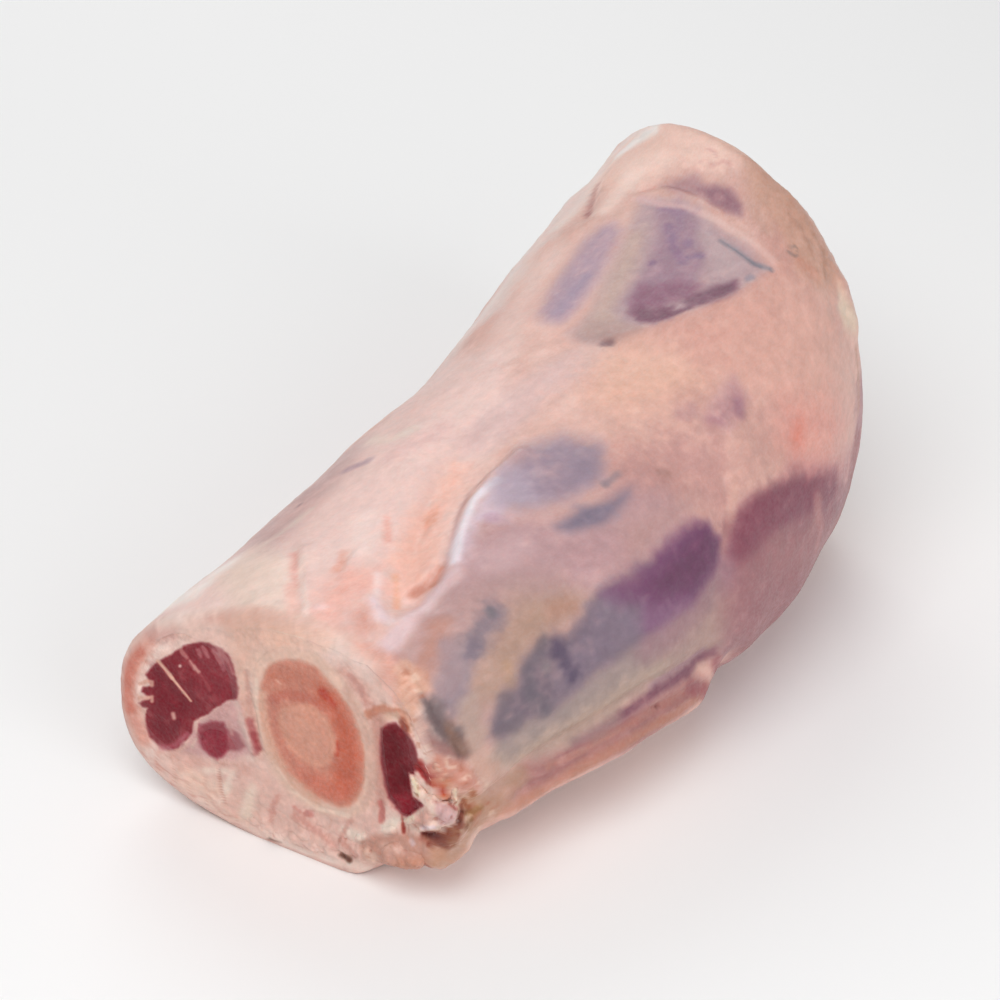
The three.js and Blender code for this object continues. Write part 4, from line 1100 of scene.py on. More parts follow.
# The torn fat, the hollow and the lobes at the low corner, with painted shadow in the hollow under
# the flap and painted highlights on the flap and the big lobe.
CUT_CORNER = [
    (FIELD, (200, 144, 128), 0.9, 1.6, 1.6, [
        (428, 752), (446, 758), (462, 764), (478, 776), (482, 792), (470, 800), (452, 796),
        (438, 784), (428, 772)]),
    (STROKE, (216, 178, 170), 0.8, 1.6, 1.0, [(434, 760), (448, 766)]),
    (STROKE, (206, 124, 94), 0.8, 1.1, 0.6, [(440, 768)]),
    (STROKE, (212, 184, 152), 0.8, 1.3, 0.6, [(444, 780), (450, 784)]),
    (STROKE, (202, 132, 100), 0.7, 1.0, 0.5, [(461, 779)]),
    (FIELD, (194, 154, 130), 0.85, 2.4, 1.8, [
        (460, 800), (474, 790), (492, 794), (496, 806), (484, 820), (470, 832), (460, 830)]),
    (STROKE, (168, 94, 52), 0.95, 1.2, 0.5, [(471, 792), (473, 794)]),
    (STROKE, (206, 176, 142), 0.7, 1.4, 0.8, [(476, 808), (484, 802)]),
    (STROKE, (122, 74, 34), 0.9, 1.2, 0.7, [(472, 820), (468, 828)]),
    (STROKE, (150, 104, 62), 0.8, 1.2, 0.7, [(466, 812), (476, 814)]),
    (FIELD, (198, 150, 135), 0.95, 1.6, 1.2, [
        (360, 842), (376, 834), (400, 834), (420, 836), (428, 842), (428, 866), (412, 872),
        (380, 868), (362, 860)]),
    # Painted highlights on the big lobe.
    (STROKE, (226, 192, 176), 0.8, 1.6, 1.0, [(366, 850), (374, 860)]),
    (STROKE, (228, 198, 198), 0.9, 1.0, 0.5, [(411, 841), (413, 844)]),
    (STROKE, (222, 182, 168), 0.8, 1.6, 1.0, [(384, 846), (400, 850)]),
    (STROKE, (190, 118, 100), 0.8, 1.3, 0.7, [(422, 838), (428, 842)]),
    (STROKE, (196, 140, 118), 0.7, 2.4, 1.2, [(400, 864), (422, 862)]),
    (FIELD, (196, 148, 124), 0.95, 1.2, 0.8, [
        (430, 846), (446, 848), (452, 854), (440, 866), (430, 868)]),
    # Painted shadow: the hollow under the flap, darkest in the gap.
    (FIELD, (138, 78, 56), 1.0, 1.4, 1.0, [
        (420, 829), (440, 830), (456, 822), (461, 818), (466, 824), (462, 834), (456, 846),
        (450, 852), (440, 848), (430, 842)]),
    (STROKE, (108, 34, 26), 0.95, 1.3, 0.6, [(424, 832), (436, 836)]),
    (STROKE, (158, 108, 84), 0.8, 1.8, 0.8, [(454, 830), (452, 842)]),
    (STROKE, (150, 74, 50), 0.95, 0.7, 0.3, [(429, 844), (431, 854), (428, 868)]),
    (FIELD, (226, 198, 184), 1.0, 0.7, 0.6, [
        (409, 773), (414, 776), (421, 786), (430, 794), (440, 800), (452, 806), (460, 812),
        (457, 821), (448, 827), (436, 831), (422, 832), (410, 829), (402, 820), (410, 816),
        (417, 811), (425, 806), (419, 800), (413, 796), (411, 785)]),
    (FIELD, (207, 168, 168), 0.85, 1.4, 0.8, [
        (436, 802), (452, 806), (459, 813), (454, 822), (440, 826), (436, 814)]),
    (FIELD, (203, 154, 143), 0.75, 1.3, 0.8, [
        (414, 816), (426, 810), (432, 818), (426, 826), (414, 826)]),
    (STROKE, (224, 206, 180), 0.9, 0.9, 0.4, [(413, 779), (417, 788), (418, 795)]),
    (STROKE, (228, 206, 186), 0.9, 0.9, 0.4, [(405, 820), (412, 818)]),
    # Painted highlight on the flap.
    (STROKE, (228, 204, 208), 0.9, 0.8, 0.4, [(422, 828), (434, 827)]),
    # Painted shade: a darker line along a fold of the flap.
    (STROKE, (182, 110, 106), 0.7, 0.6, 0.3, [(449, 804), (456, 809)]),
    (STROKE, (168, 40, 44), 0.95, 0.9, 0.4, [(418, 766), (424, 775), (430, 781)]),
    (STROKE, (204, 102, 82), 0.9, 1.0, 0.5, [(432, 783), (438, 788)]),
    (STROKE, (188, 84, 50), 0.95, 1.3, 0.5, [(442, 790), (446, 797)]),
    (STROKE, (220, 198, 176), 0.95, 0.9, 0.3, [(455, 788), (456, 803)]),
    (STROKE, (216, 184, 160), 0.9, 0.9, 0.3, [(466, 797), (467, 802)]),
    # Painted shadow: a dark streak down beside the flap.
    (STROKE, (142, 72, 48), 0.9, 0.9, 0.4, [(461, 805), (461, 811)]),
    (STROKE, (96, 38, 24), 0.95, 1.1, 0.4, [(462, 812), (459, 821)]),
    (STROKE, (194, 172, 152), 0.8, 0.8, 0.3, [(461, 831)]),
    (STROKE, (192, 102, 98), 0.6, 1.0, 1.0, [(381, 802), (383, 810), (381, 820)]),
    (STROKE, (192, 116, 106), 0.8, 0.4, 0.2, [(402, 816), (403, 823)]),
    (STROKE, (152, 50, 38), 0.85, 0.8, 0.5, [(403, 824), (404, 832)]),
    (STROKE, (230, 210, 196), 0.9, 1.5, 0.8, [(390, 826), (396, 822)]),
]
CUT_PAINT = CUT_FAT + CUT_SMALL_MUSCLE + CUT_BONE + CUT_LEFT_MUSCLE + CUT_RIGHT_MUSCLE + CUT_CORNER

# Paint that goes over the rim, on the cut and the skin alike.
RIM_PAINT = [
    (FIELD, (220, 172, 150), 0.75, 2.0, 2.0, [
        (392, 668), (408, 660), (424, 672), (431, 690), (422, 698), (419, 714), (414, 730),
        (404, 716), (398, 694)]),
    (FIELD, (198, 154, 148), 0.75, 1.8, 1.6, [
        (418, 716), (432, 736), (446, 744), (452, 756), (436, 752), (424, 744), (416, 730)]),
    (FIELD, (168, 144, 148), 0.8, 3.2, 2.4, [
        (438, 638), (454, 638), (464, 662), (464, 690), (450, 698), (436, 694), (434, 668)]),
    (FIELD, (160, 140, 146), 0.8, 3.0, 2.2, [
        (440, 692), (462, 690), (474, 704), (474, 722), (460, 720), (448, 708)]),
    (FIELD, (184, 158, 146), 0.8, 3.0, 2.2, [
        (458, 700), (476, 694), (484, 726), (484, 752), (472, 762), (464, 742), (456, 722)]),
    (FIELD, (150, 110, 106), 0.8, 2.4, 2.0, [
        (428, 732), (440, 738), (456, 744), (467, 756), (456, 763), (440, 757), (430, 748)]),
    (FIELD, (112, 98, 100), 0.9, 2.8, 2.2, [
        (420, 694), (433, 697), (446, 706), (452, 718), (461, 735), (467, 752), (458, 754),
        (446, 742), (431, 736), (424, 722), (421, 710)]),
    (STROKE, (146, 112, 98), 0.75, 2.6, 1.8, [(450, 730), (464, 752)]),
    (FIELD, (198, 138, 122), 0.8, 1.8, 1.8, [
        (430, 754), (446, 757), (462, 763), (478, 774), (482, 788), (470, 792), (452, 786),
        (438, 778), (428, 768)]),
    (FIELD, (200, 162, 148), 0.85, 2.6, 2.4, [
        (472, 758), (496, 760), (508, 776), (500, 800), (486, 800), (478, 782)]),
    (FIELD, (186, 146, 126), 0.85, 2.0, 2.0, [
        (482, 798), (500, 792), (510, 804), (492, 820), (474, 834), (466, 852), (448, 870),
        (434, 868), (446, 852), (462, 838), (472, 822)]),
    (STROKE, (146, 38, 38), 0.95, 1.7, 0.9, [(419, 765), (425, 774), (430, 780)]),
    (STROKE, (178, 86, 68), 0.85, 1.8, 1.2, [(432, 781), (441, 788)]),
    (STROKE, (158, 86, 54), 0.8, 1.5, 1.2, [(464, 801), (468, 807)]),
    (STROKE, (168, 100, 62), 0.8, 1.2, 1.0, [(473, 793)]),
    (STROKE, (150, 104, 66), 0.7, 1.2, 1.2, [(470, 812), (480, 808)]),
    (STROKE, (150, 74, 50), 0.8, 0.9, 0.7, [(429, 844), (431, 854), (428, 868)]),
]
TORN_PATCH = [
    (398, 664), (424, 672), (430, 694), (416, 712), (424, 738), (440, 752), (466, 764), (490, 782),
    (500, 806), (478, 832), (460, 816), (446, 800), (430, 780), (420, 756), (410, 730), (404, 706),
]
PIXELS_PER_MM = 2.6
SPLIT_SIZE = 7.0
SPLIT_SEED = 87


def as_seen(pixels):
    """Pixels in about the size, in mm, of what they show."""
    return [(px / PIXELS_PER_MM, py / PIXELS_PER_MM) for px, py in pixels]


def seen_places(points):
    """Where points show in the photograph, in the same measure as as_seen."""
    px, py = in_photo(points)
    return px / PIXELS_PER_MM, py / PIXELS_PER_MM


def lay_rim(paint, points, ragged, share):
    """Lays the rim's paint where a share says, and pale and dark grit where the fat is torn."""
    u, v = seen_places(points)
    lay_all(paint, u, v, RIM_PAINT, as_seen, ragged, share)
    torn = field(u, v, as_seen(TORN_PATCH), 2.0, ragged) * share
    grit = lattice_noise(points, 2.4, 121) + 0.6 * lattice_noise(points, 1.4, 123)
    paint.lay((236, 206, 186), 0.55 * torn * smoothstep(0.2, 0.8, grit))
    paint.lay((180, 112, 90), 0.5 * torn * smoothstep(0.3, 0.9, -grit))


def paint_cut(points):
    """The colours of the whole near cut, over every piece that shows in it."""
    u, v = seen_places(points)
    y, z = points[:, 1], points[:, 2]
    flat = sheet(y, z)
    blots = rough_noise(flat, 3.6, 111, 2)
    specks = lattice_noise(flat, 1.3, 113)
    ragged = 0.6 * rough_noise(flat, 6.0, 115) + 0.4 * blots + 0.3 * specks
    paint = Paint(len(u), (230, 194, 182))
    paint.lay((243, 217, 207), 0.8 * smoothstep(0.0, 0.8, rough_noise(flat, 8.0, 117)))
    paint.lay((214, 162, 150), 0.6 * smoothstep(0.2, 0.9, rough_noise(flat, 4.5, 119)))
    split = bell(cell_edges(y + blots, z - blots, SPLIT_SIZE, SPLIT_SEED), 0.6)
    paint.lay((196, 128, 114), 0.55 * smoothstep(30.0, 14.0, z) * split)
    lay_all(paint, u, v, CUT_PAINT, as_seen, ragged, 1.0 - 0.16 * smoothstep(0.0, 0.8, blots))
    lay_rim(paint, points, ragged, 1.0)
    return paint.colour * (1.0 + 0.030 * blots + 0.030 * specks)[:, None]


# ------------------------------------------------------------------ paint on the hidden cut
# Strokes along (y, z) in mm, on the fat and then on the muscles.
FAR_FAT = [
    (STROKE, (196, 132, 128), 0.7, 4.0, 2.0, [(18, 106), (34, 110), (48, 106)]),
    (STROKE, (176, 104, 106), 0.6, 2.2, 1.5, [(24, 108), (40, 110)]),
    (STROKE, (192, 126, 124), 0.7, 3.2, 1.6, [(52, 44), (62, 34), (66, 26)]),
    (STROKE, (196, 130, 126), 0.7, 3.0, 1.6, [(-26, 24), (-12, 18), (0, 16)]),
    (STROKE, (242, 220, 208), 0.7, 2.2, 1.2, [(12, 92), (22, 86), (40, 88), (56, 98)]),
    (STROKE, (242, 222, 210), 0.6, 2.0, 1.2, [(10, 70), (8, 50), (14, 36)]),
    (STROKE, (240, 216, 204), 0.6, 2.0, 1.2, [(62, 64), (56, 48), (60, 40)]),
    (STROKE, (150, 64, 66), 0.8, 1.8, 0.8, [(55, 84)]),
    (STROKE, (158, 76, 74), 0.7, 1.6, 0.8, [(13, 101)]),
]
FAR_MEAT = [
    (STROKE, (212, 160, 150), 0.8, 0.9, 0.9, [(-32, 104), (-18, 88), (-10, 66), (-16, 42)]),
    (STROKE, (190, 124, 122), 0.6, 1.0, 1.0, [(-4, 110), (-8, 98), (-18, 88)]),
    (STROKE, (196, 132, 130), 0.7, 0.7, 0.8, [(-10, 66), (2, 54), (6, 46)]),
    (STROKE, (176, 104, 108), 0.6, 0.7, 0.8, [(-30, 80), (-26, 60), (-28, 46)]),
    (STROKE, (214, 166, 156), 0.8, 0.8, 0.8, [(62, 102), (70, 88), (72, 72), (80, 58)]),
    (STROKE, (186, 118, 118), 0.6, 0.6, 0.8, [(76, 96), (80, 80)]),
    (STROKE, (206, 150, 144), 0.7, 0.7, 0.8, [(10, 25), (24, 20), (40, 23), (54, 20)]),
]
# What reaches the hidden cut: its run, colour, softness, and how far it stays inside the run.
FAR_RUNS = [
    ("small_muscle", (148, 64, 78), 0.7, 1.0),
    ("left_muscle", (140, 58, 68), 0.7, 1.0),
    ("right_muscle", (126, 40, 50), 0.7, 1.0),
    ("bone", (230, 196, 180), 1.2, -1.0),
    ("spongy_bone", (202, 124, 106), 1.2, 0.0),
    ("marrow", (214, 154, 134), 1.8, 0.0),
]
FAR_OUTLINE_POINTS = 120


def paint_far_cut(y, z):
    """The hidden cut: the same muscles and bone, laid out from the runs that reach it."""
    flat = sheet(y, z, 50.0)
    ragged = 0.8 * rough_noise(flat, 7.0, 121) + 0.4 * lattice_noise(flat, 2.0, 123)
    paint = Paint(len(y), (228, 190, 178))
    paint.lay((240, 212, 202), 0.8 * smoothstep(0.0, 0.8, rough_noise(flat, 9.0, 127)))
    paint.lay((212, 160, 150), 0.6 * smoothstep(0.2, 0.9, rough_noise(flat, 5.0, 129)))
    lay_all(paint, y, z, FAR_FAT, list, ragged, 1.0)
    angle = np.linspace(0.0, FULL_TURN, FAR_OUTLINE_POINTS, endpoint=False)
    meat = np.zeros(len(y))
    for run, colour, soft, inset in FAR_RUNS:
        ry, rz = run_ring(run, np.full(FAR_OUTLINE_POINTS, FAR_X), angle)
        share = field(y, z, list(zip(ry.tolist(), rz.tolist())), soft, ragged - inset)
        paint.lay(colour, share)
        if run.endswith("muscle"):
            meat = np.maximum(meat, share)
    blots = rough_noise(flat, 12.0, 131)
    paint.lay((112, 34, 44), 0.5 * meat * smoothstep(0.0, 0.8, blots))
    paint.lay((160, 78, 86), 0.4 * meat * smoothstep(0.1, 0.9, -blots))
    lay_all(paint, y, z, FAR_MEAT, list, ragged, meat)
    return paint.colour


# ------------------------------------------------------------------ the cover of fat and silverskin
SKIN_SIDES = 300
SKIN_STATIONS = 246
FAR_CAP_RINGS = 30
CUT_RINGS = 104
# The near cut is a plate of this depth, let into the skin up to this share of the rim's size.
CUT_DEPTH = 3.0
SEAM = 0.985
RUN_STATIONS = 14
CHANNEL_CLEARANCE = 0.02
CHANNEL_ENDS = 12.0
CHANNEL_SIDES = {"bone": 300, "left_muscle": 340, "small_muscle": 140, "right_muscle": 260}
CROWDING = 0.38
CROWDED_TOWARD = math.radians(50)
STATION_CROWDING = 0.12
STATION_STEPS = 12
# The middle of the torn corner, as (y, z): on the cut, and on the skin beside it.
TORN_CUT = (-36, 36)
TORN_SKIN = (-36, 30)

# Relief of the near cut: half width and height in mm, path in pixels.
CUT_FORMS = [
    (3.0, -2.6, [(424, 835), (440, 838), (454, 834)]),
    (1.0, -1.6, [(429, 845), (430, 856), (428, 868)]),
    (4.6, 1.6, [(372, 850), (396, 852), (416, 855)]),
    (3.6, 1.2, [(376, 828), (392, 828)]),
    (1.1, -1.4, [(403, 822), (404, 834)]),
    (1.4, -2.2, [(338, 852), (344, 860), (346, 870)]),
    (1.2, -1.6, [(362, 838), (356, 850), (350, 860)]),
    (1.1, -1.6, [(270, 836), (274, 846)]),
    (1.1, -1.2, [(242, 826), (246, 838)]),
    (1.3, -1.0, [(300, 846), (306, 856)]),
    (4.0, 1.1, [(306, 836), (328, 846)]),
    (3.6, 1.0, [(262, 824), (284, 834)]),
    (4.0, 0.8, [(214, 792), (234, 808)]),
    (0.8, -0.5, [(219, 770), (221, 788), (226, 802)]),
    (1.0, -0.5, [(246, 672), (250, 700), (256, 724), (262, 750)]),
    (1.6, 0.5, [(238, 690), (243, 716), (250, 744), (258, 764)]),
    (1.6, 0.7, [(366, 714), (382, 710), (397, 710), (406, 720), (411, 736)]),
    (1.4, -0.8, [(380, 730), (381, 760), (385, 784), (396, 808)]),
    (1.0, -0.6, [(381, 802), (382, 820)]),
    (1.2, -0.9, [(418, 766), (426, 777), (436, 786)]),
    (0.5, 0.25, [(157, 661), (172, 678), (191, 701)]),
]


def cut_waves(y, z):
    """Slow waves that the saw left on both cuts."""
    return 0.3 * np.sin(y / 4.1 + z / 6.3) + 0.3 * np.sin(z / 3.7 - y / 7.9)


def cut_relief(y, z):
    """How far the near cut stands out of its plane: waves, forms, and torn at the low corner."""
    height = cut_waves(y, z)
    flat = sheet(y, z)
    wander = 0.5 * lattice_noise(flat, 3.0, 83)
    for half, tall, pixels in CUT_FORMS:
        height = height + tall * bell(distance_to_path(y, z, on_cut(pixels)) + wander, half)
    torn = smoothstep(16.0, 4.0, np.hypot(y - TORN_CUT[0], (z - TORN_CUT[1]) / 1.5))
    low = smoothstep(26.0, 10.0, z)
    split = bell(cell_edges(y + 2 * wander, z - 2 * wander, SPLIT_SIZE, SPLIT_SEED), 1.1)
    return (height + (0.22 + 0.8 * torn + 0.3 * low) * rough_noise(flat, 5.0, 71, 2)
            + (0.06 + 0.3 * torn + 0.06 * low) * lattice_noise(flat, 2.2, 73)
            - (0.35 * low + 0.4 * torn) * split)


def toward_middle(ring, share):
    """The ring drawn in to a share of its size."""
    return ring.mean(0) + (ring - ring.mean(0)) * share


def cut_ring(ring, share):
    """The near rim drawn in to a share of its size, with the relief of the cut."""
    drawn = toward_middle(ring, share)
    drawn[:, 0] -= smoothstep(SEAM, SEAM - 0.07, share) * cut_relief(drawn[:, 1], drawn[:, 2])
    return drawn


def from_low_side(angle):
    """The same direction as an angle from -90 degrees, straight down, to 270."""
    return (angle + math.pi / 2) % FULL_TURN - math.pi / 2


def grown_skin(x, angle):
    """The skin's points with the fine relief on them."""
    around = SKIN.around(x, from_low_side(angle))
    return outer_points(x, angle, fine_relief(x, around, outer_points(x, angle)))


def skin_turn():
    """Angles round the leg, closer together on the side that the photograph shows."""
    u = even_turn(SKIN_SIDES)
    return u - CROWDING * np.sin(u - CROWDED_TOWARD)


def skin_rings():
    """The cover from end to end: the bed of the near cut, the skin, and the face of the wide cut."""
    t = np.linspace(0, 1, SKIN_STATIONS)
    shares = t - STATION_CROWDING * np.sin(FULL_TURN * t) / FULL_TURN
    stations = NEAR_X + (FAR_X - NEAR_X) * shares
    grown = grown_skin(*np.meshgrid(stations, skin_turn(), indexing="ij"))
    near, far = grown[0], grown[-1]
    bed = near + np.array([CUT_DEPTH, 0.0, 0.0])
    rings = [toward_middle(bed, share) for share in (0.1, 0.5, SEAM)]
    rings.append(cut_ring(near, SEAM))
    rings.extend(grown)
    for share in np.linspace(0.975, 0.08, FAR_CAP_RINGS):
        ring = toward_middle(far, share)
        ring[:, 0] += min((1 - share) / 0.08, 1.0) * cut_waves(ring[:, 1], ring[:, 2])
        rings.append(ring)
    return rings


def near_cut_rings():
    """The fat of the near cut: a plate let into the end of the skin, twice as fine as its rim."""
    rim = grown_skin(np.full(SKIN_SIDES, NEAR_X), skin_turn())
    near = np.stack([rim, (rim + np.roll(rim, -1, 0)) / 2], 1).reshape(-1, 3)
    shares = np.linspace(0.02, SEAM, CUT_RINGS) ** 0.8 * SEAM ** 0.2
    rings = [cut_ring(near, share) for share in shares]
    bed = near + np.array([CUT_DEPTH - 0.1, 0.0, 0.0])
    rings.extend(toward_middle(bed, share) for share in (SEAM, 0.5, 0.1))
    return rings


def run_rings(run, first, last, angle, grow):
    """Rings of points round what runs through the leg, from one station to another."""
    x, turn = np.meshgrid(np.linspace(first, last, RUN_STATIONS), angle, indexing="ij")
    return list(slanted(x, *run_ring(run, x, turn, grow)))


def channel(run, sides):
    """A cutter that stands out of both cuts."""
    rings = run_rings(run, NEAR_X, FAR_X, -even_turn(sides), CHANNEL_CLEARANCE)
    shift = np.array([CHANNEL_ENDS, 0.0, 0.0])
    return capped(run + "_channel", [rings[0] - shift, *rings, rings[-1] + shift])


def cut_channels(obj):
    """Cuts the channels of all that runs through the leg."""
    cutters = [channel(run, sides) for run, sides in CHANNEL_SIDES.items()]
    bpy.ops.object.select_all(action="DESELECT")
    for cutter in cutters:
        cutter.select_set(True)
    bpy.context.view_layer.objects.active = cutters[0]
    bpy.ops.object.join()
    cut = obj.modifiers.new("channels", "BOOLEAN")
    cut.operation = "DIFFERENCE"
    cut.solver = "MANIFOLD"
    cut.object = cutters[0]
    mesh = evaluated_mesh(obj)
    bpy.data.objects.remove(cutters[0])
    mesh.set_sharp_from_angle(angle=SHARP_FROM)


def station_of(points):
    """The station along the leg, and the angle round it, of each point."""
    x = points[:, 0].copy()
    for _ in range(STATION_STEPS):
        x = points[:, 0] - slant(x) * points[:, 1]
    x = np.clip(x, NEAR_X, FAR_X)
    angle = np.arctan2(points[:, 2] - read_along(OUTER, "widest", x), -points[:, 1])
    return x, from_low_side(angle)


def turned_to_eye(obj, points):
    """1 where the surface is turned to the photograph's camera, 0 where it is turned away."""
    toward = EYE - points
    toward = toward / np.linalg.norm(toward, axis=-1, keepdims=True)
    return smoothstep(0.0, 0.18, (normals_of(obj) * toward).sum(-1))


def build_skin():
    """The cover of fat and silverskin, with the paint of both cuts at its ends."""
    skin = capped("fat_cover_skin", skin_rings())
    cut_channels(skin)
    points = vertices_of(skin)
    px, y, z = points.T
    x, angle = station_of(points)
    around = SKIN.around(x, angle)
    depth = outer_radius(x, angle) - np.hypot(y, z - read_along(OUTER, "widest", x))
    seen = turned_to_eye(skin, points)
    # How much of the near cut, the torn corner and the far cut is at each point.
    near = smoothstep(NEAR_X + 6.0, NEAR_X + 2.0, px)
    torn = smoothstep(26.0, 16.0,
                      np.hypot(px - NEAR_X, np.hypot(y - TORN_SKIN[0], z - TORN_SKIN[1])))
    far = smoothstep(7.0, 13.0, depth) * smoothstep(FAR_X - 6.0, FAR_X - 2.0, x)
    paint = Paint(len(points), blend(paint_skin(x, around), paint_far_cut(y, z), far))
    beside = smoothstep(NEAR_X + 70.0, NEAR_X + 50.0, x) * seen
    lay_rim(paint, points, rough_noise(points, 5.0, 115), beside)
    colour = blend(paint.colour, paint_cut(points), np.maximum(near, torn) * seen)
    set_looks(skin, colour, np.stack([x * SKIN_DRAWN, around, depth], -1))
    return skin


def build_near_cut():
    plate = capped("near_cut_fat", near_cut_rings())
    cut_channels(plate)
    points = vertices_of(plate)
    set_looks(plate, paint_cut(points), points)
    return plate


# ------------------------------------------------------------------ what fills the channels
# Where each face lies, and which way along X it looks.
NEAR_FACE = (NEAR_X, -1.0)
FAR_FACE = (FAR_X, 1.0)
WALL_INSET = 3.0
# How deep behind a face its paint is still full, and where it has faded.
FACE_PAINT_FULL = 4.0
FACE_PAINT_FADED = 12.0
# The grain of a muscle or bone is drawn out along the leg much more than the skin's patterns.
FIBRES_DRAWN = 0.15


def face_ring(end, way, y, z, stand, grain, seed):
    """A ring of a piece's face, with the relief of the cut that it lies in."""
    relief = cut_relief(y, z) if way < 0 else cut_waves(y, z)
    rise = relief + stand + grain * rough_noise(sheet(y, z), 2.0, seed, 2)
    return np.stack([end + slant(end) * y + way * rise, y, z], -1)


def wall_rings(run, sides, grow=0.0):
    return run_rings(run, NEAR_X + WALL_INSET, FAR_X - WALL_INSET, even_turn(sides), grow)


def plug(piece, run, sides, near_rings, dome, grain, seed):
    """A solid that runs from cut to cut and ends in two domed faces."""
    def face(end, way, count):
        y, z = run_ring(run, np.full(sides, end), even_turn(sides))
        return [face_ring(end, way, y.mean() + (y - y.mean()) * share,
                          z.mean() + (z - z.mean()) * share, dome * (1 - share ** 4), grain, seed)
                for share in np.linspace(0.03, 1.0, count)]

    near, far = face(*NEAR_FACE, near_rings), face(*FAR_FACE, near_rings // 2)
    return outward(capped(piece, near + wall_rings(run, sides) + far[::-1]))


def sleeve(piece, run, core, sides, near_rings, grain, seed):
    """A tube between two runs, with sawn faces at both ends."""
    def face(end, way, count):
        at = np.full(sides, end)
        oy, oz = run_ring(run, at, even_turn(sides))
        iy, iz = run_ring(core, at, even_turn(sides), CHANNEL_CLEARANCE)
        return [face_ring(end, way, oy + (iy - oy) * share, oz + (iz - oz) * share,
                          0.0, grain, seed)
                for share in np.linspace(0.0, 1.0, count)]

    rings = (wall_rings(run, sides) + face(*FAR_FACE, near_rings // 2)
             + wall_rings(core, sides, CHANNEL_CLEARANCE)[::-1]
             + face(*NEAR_FACE, near_rings)[::-1])
    points = np.asarray(rings).reshape(-1, 3)
    return outward(make_object(piece, points, ring_faces(len(rings), sides, closed=True)))


def paint_ends(obj, colour, shift):
    """Paints a piece that runs from cut to cut: both its faces, and one colour between them.

    The shift moves its grain, so that no two pieces share theirs.
    """
    points = vertices_of(obj)
    px, y, z = points.T
    near = smoothstep(NEAR_X + FACE_PAINT_FADED, NEAR_X + FACE_PAINT_FULL, px)
    far = smoothstep(FAR_X - FACE_PAINT_FADED, FAR_X - FACE_PAINT_FULL, px - slant(FAR_X) * y)
    painted = blend(Paint(len(points), colour).colour, paint_cut(points), near)
    painted = blend(painted, paint_far_cut(y, z), far)
    set_looks(obj, painted, points * np.array([FIBRES_DRAWN, 1.0, 1.0]) + shift)
    return obj


# ------------------------------------------------------------------ torn fat at the low corner
# Strings of lumps: the two coordinates of a pixel, mm behind the plane of the cut, radius in mm.
TORN_FLAP = [
    [(412, 776, 0.0, 1.1), (416, 784, -0.2, 1.6), (420, 792, -0.4, 2.0), (428, 799, -0.4, 2.5),
     (437, 805, 0.0, 3.0), (446, 810, 1.0, 3.0), (452, 813, 2.4, 2.6)],
    [(407, 821, 0.0, 1.5), (414, 818, -0.4, 2.0), (422, 817, -0.6, 2.6), (431, 819, -0.6, 3.2),
     (441, 820, 0.4, 3.0), (450, 818, 2.0, 2.6)],
    [(424, 808, 0.6, 2.4), (434, 812, 0.4, 3.2), (444, 815, 1.6, 3.0)],
    [(417, 826, 0.6, 1.7), (428, 827, 0.4, 1.9), (438, 826, 0.6, 1.9)],
]
TORN_LOBES = [
    [(350, 842, 2.2, 4.0), (368, 848, 2.0, 4.4), (386, 850, 1.8, 5.0), (402, 851, 1.6, 5.4),
     (416, 854, 1.8, 4.6)],
    [(436, 857, 4.0, 3.2), (444, 856, 6.0, 3.0)],
    [(386, 827, 1.0, 2.4), (394, 828, 0.8, 2.4)],
    [(376, 834, 1.6, 3.0), (362, 836, 2.0, 3.0)],
    [(300, 834, 2.6, 3.8), (318, 842, 2.6, 4.0), (332, 846, 2.6, 3.6)],
    [(258, 816, 2.8, 3.4), (274, 828, 2.8, 3.6), (286, 832, 2.8, 3.4)],
]
TORN_CRUMBS = [
    [(454, 789, 3.6, 1.2), (454, 796, 3.6, 1.3), (456, 802, 3.8, 1.1)],
    [(446, 780, 3.2, 1.6), (440, 772, 2.4, 1.6), (436, 764, 2.0, 1.4)],
]
# How uneven the lumps of each group are.
TORN_GROUPS = [(TORN_FLAP, 0.36), (TORN_LOBES, 0.12), (TORN_CRUMBS, 0.36)]
LUMP_SEED = 5
# The size in mm at which the lumps grow together, and how far they stay above the floor.
LUMP_VOXEL = 0.5
LUMPS_ABOVE_FLOOR = 0.3
ROUGH_ABOVE_FLOOR = 0.05
# Painted shade: the colour darkened and reddened in the hollows of the rough lumps.
HOLLOW_SHADE = np.array([0.88, 0.76, 0.74])


def lumps_along(string, chance, uneven):
    """Overlapping lumps of uneven size along a string, as (centre, radius)."""
    lumps = []
    for (px, py, behind, first), (qx, qy, beyond, second) in zip(string[:-1], string[1:]):
        a, b = on_station(px, py, NEAR_X + behind), on_station(qx, qy, NEAR_X + beyond)
        count = max(2, int(np.linalg.norm(b - a) / (0.45 * min(first, second))))
        for t in np.arange(count + 1) / count:
            radius = (first + (second - first) * t) * chance.uniform(1.05 - uneven, 1.05)
            shift = chance.normal(0.0, 0.6 * uneven, 3) * radius
            lumps.append((a + (b - a) * t + shift, radius))
    return lumps


def add_lump(mesh, centre, radius):
    """Adds one uneven ball, kept above the floor."""
    ball = bmesh.ops.create_icosphere(mesh, subdivisions=3, radius=1.0)["verts"]
    unit = np.array([v.co[:] for v in ball])
    wobble = 1.0 + 0.16 * rough_noise(unit * 3.0 + centre, 3.0, 171)
    shape = centre + unit * radius * wobble[:, None]
    shape[:, 2] = np.maximum(shape[:, 2], LUMPS_ABOVE_FLOOR)
    for vertex, place in zip(ball, to_scene(shape)):
        vertex.co = place


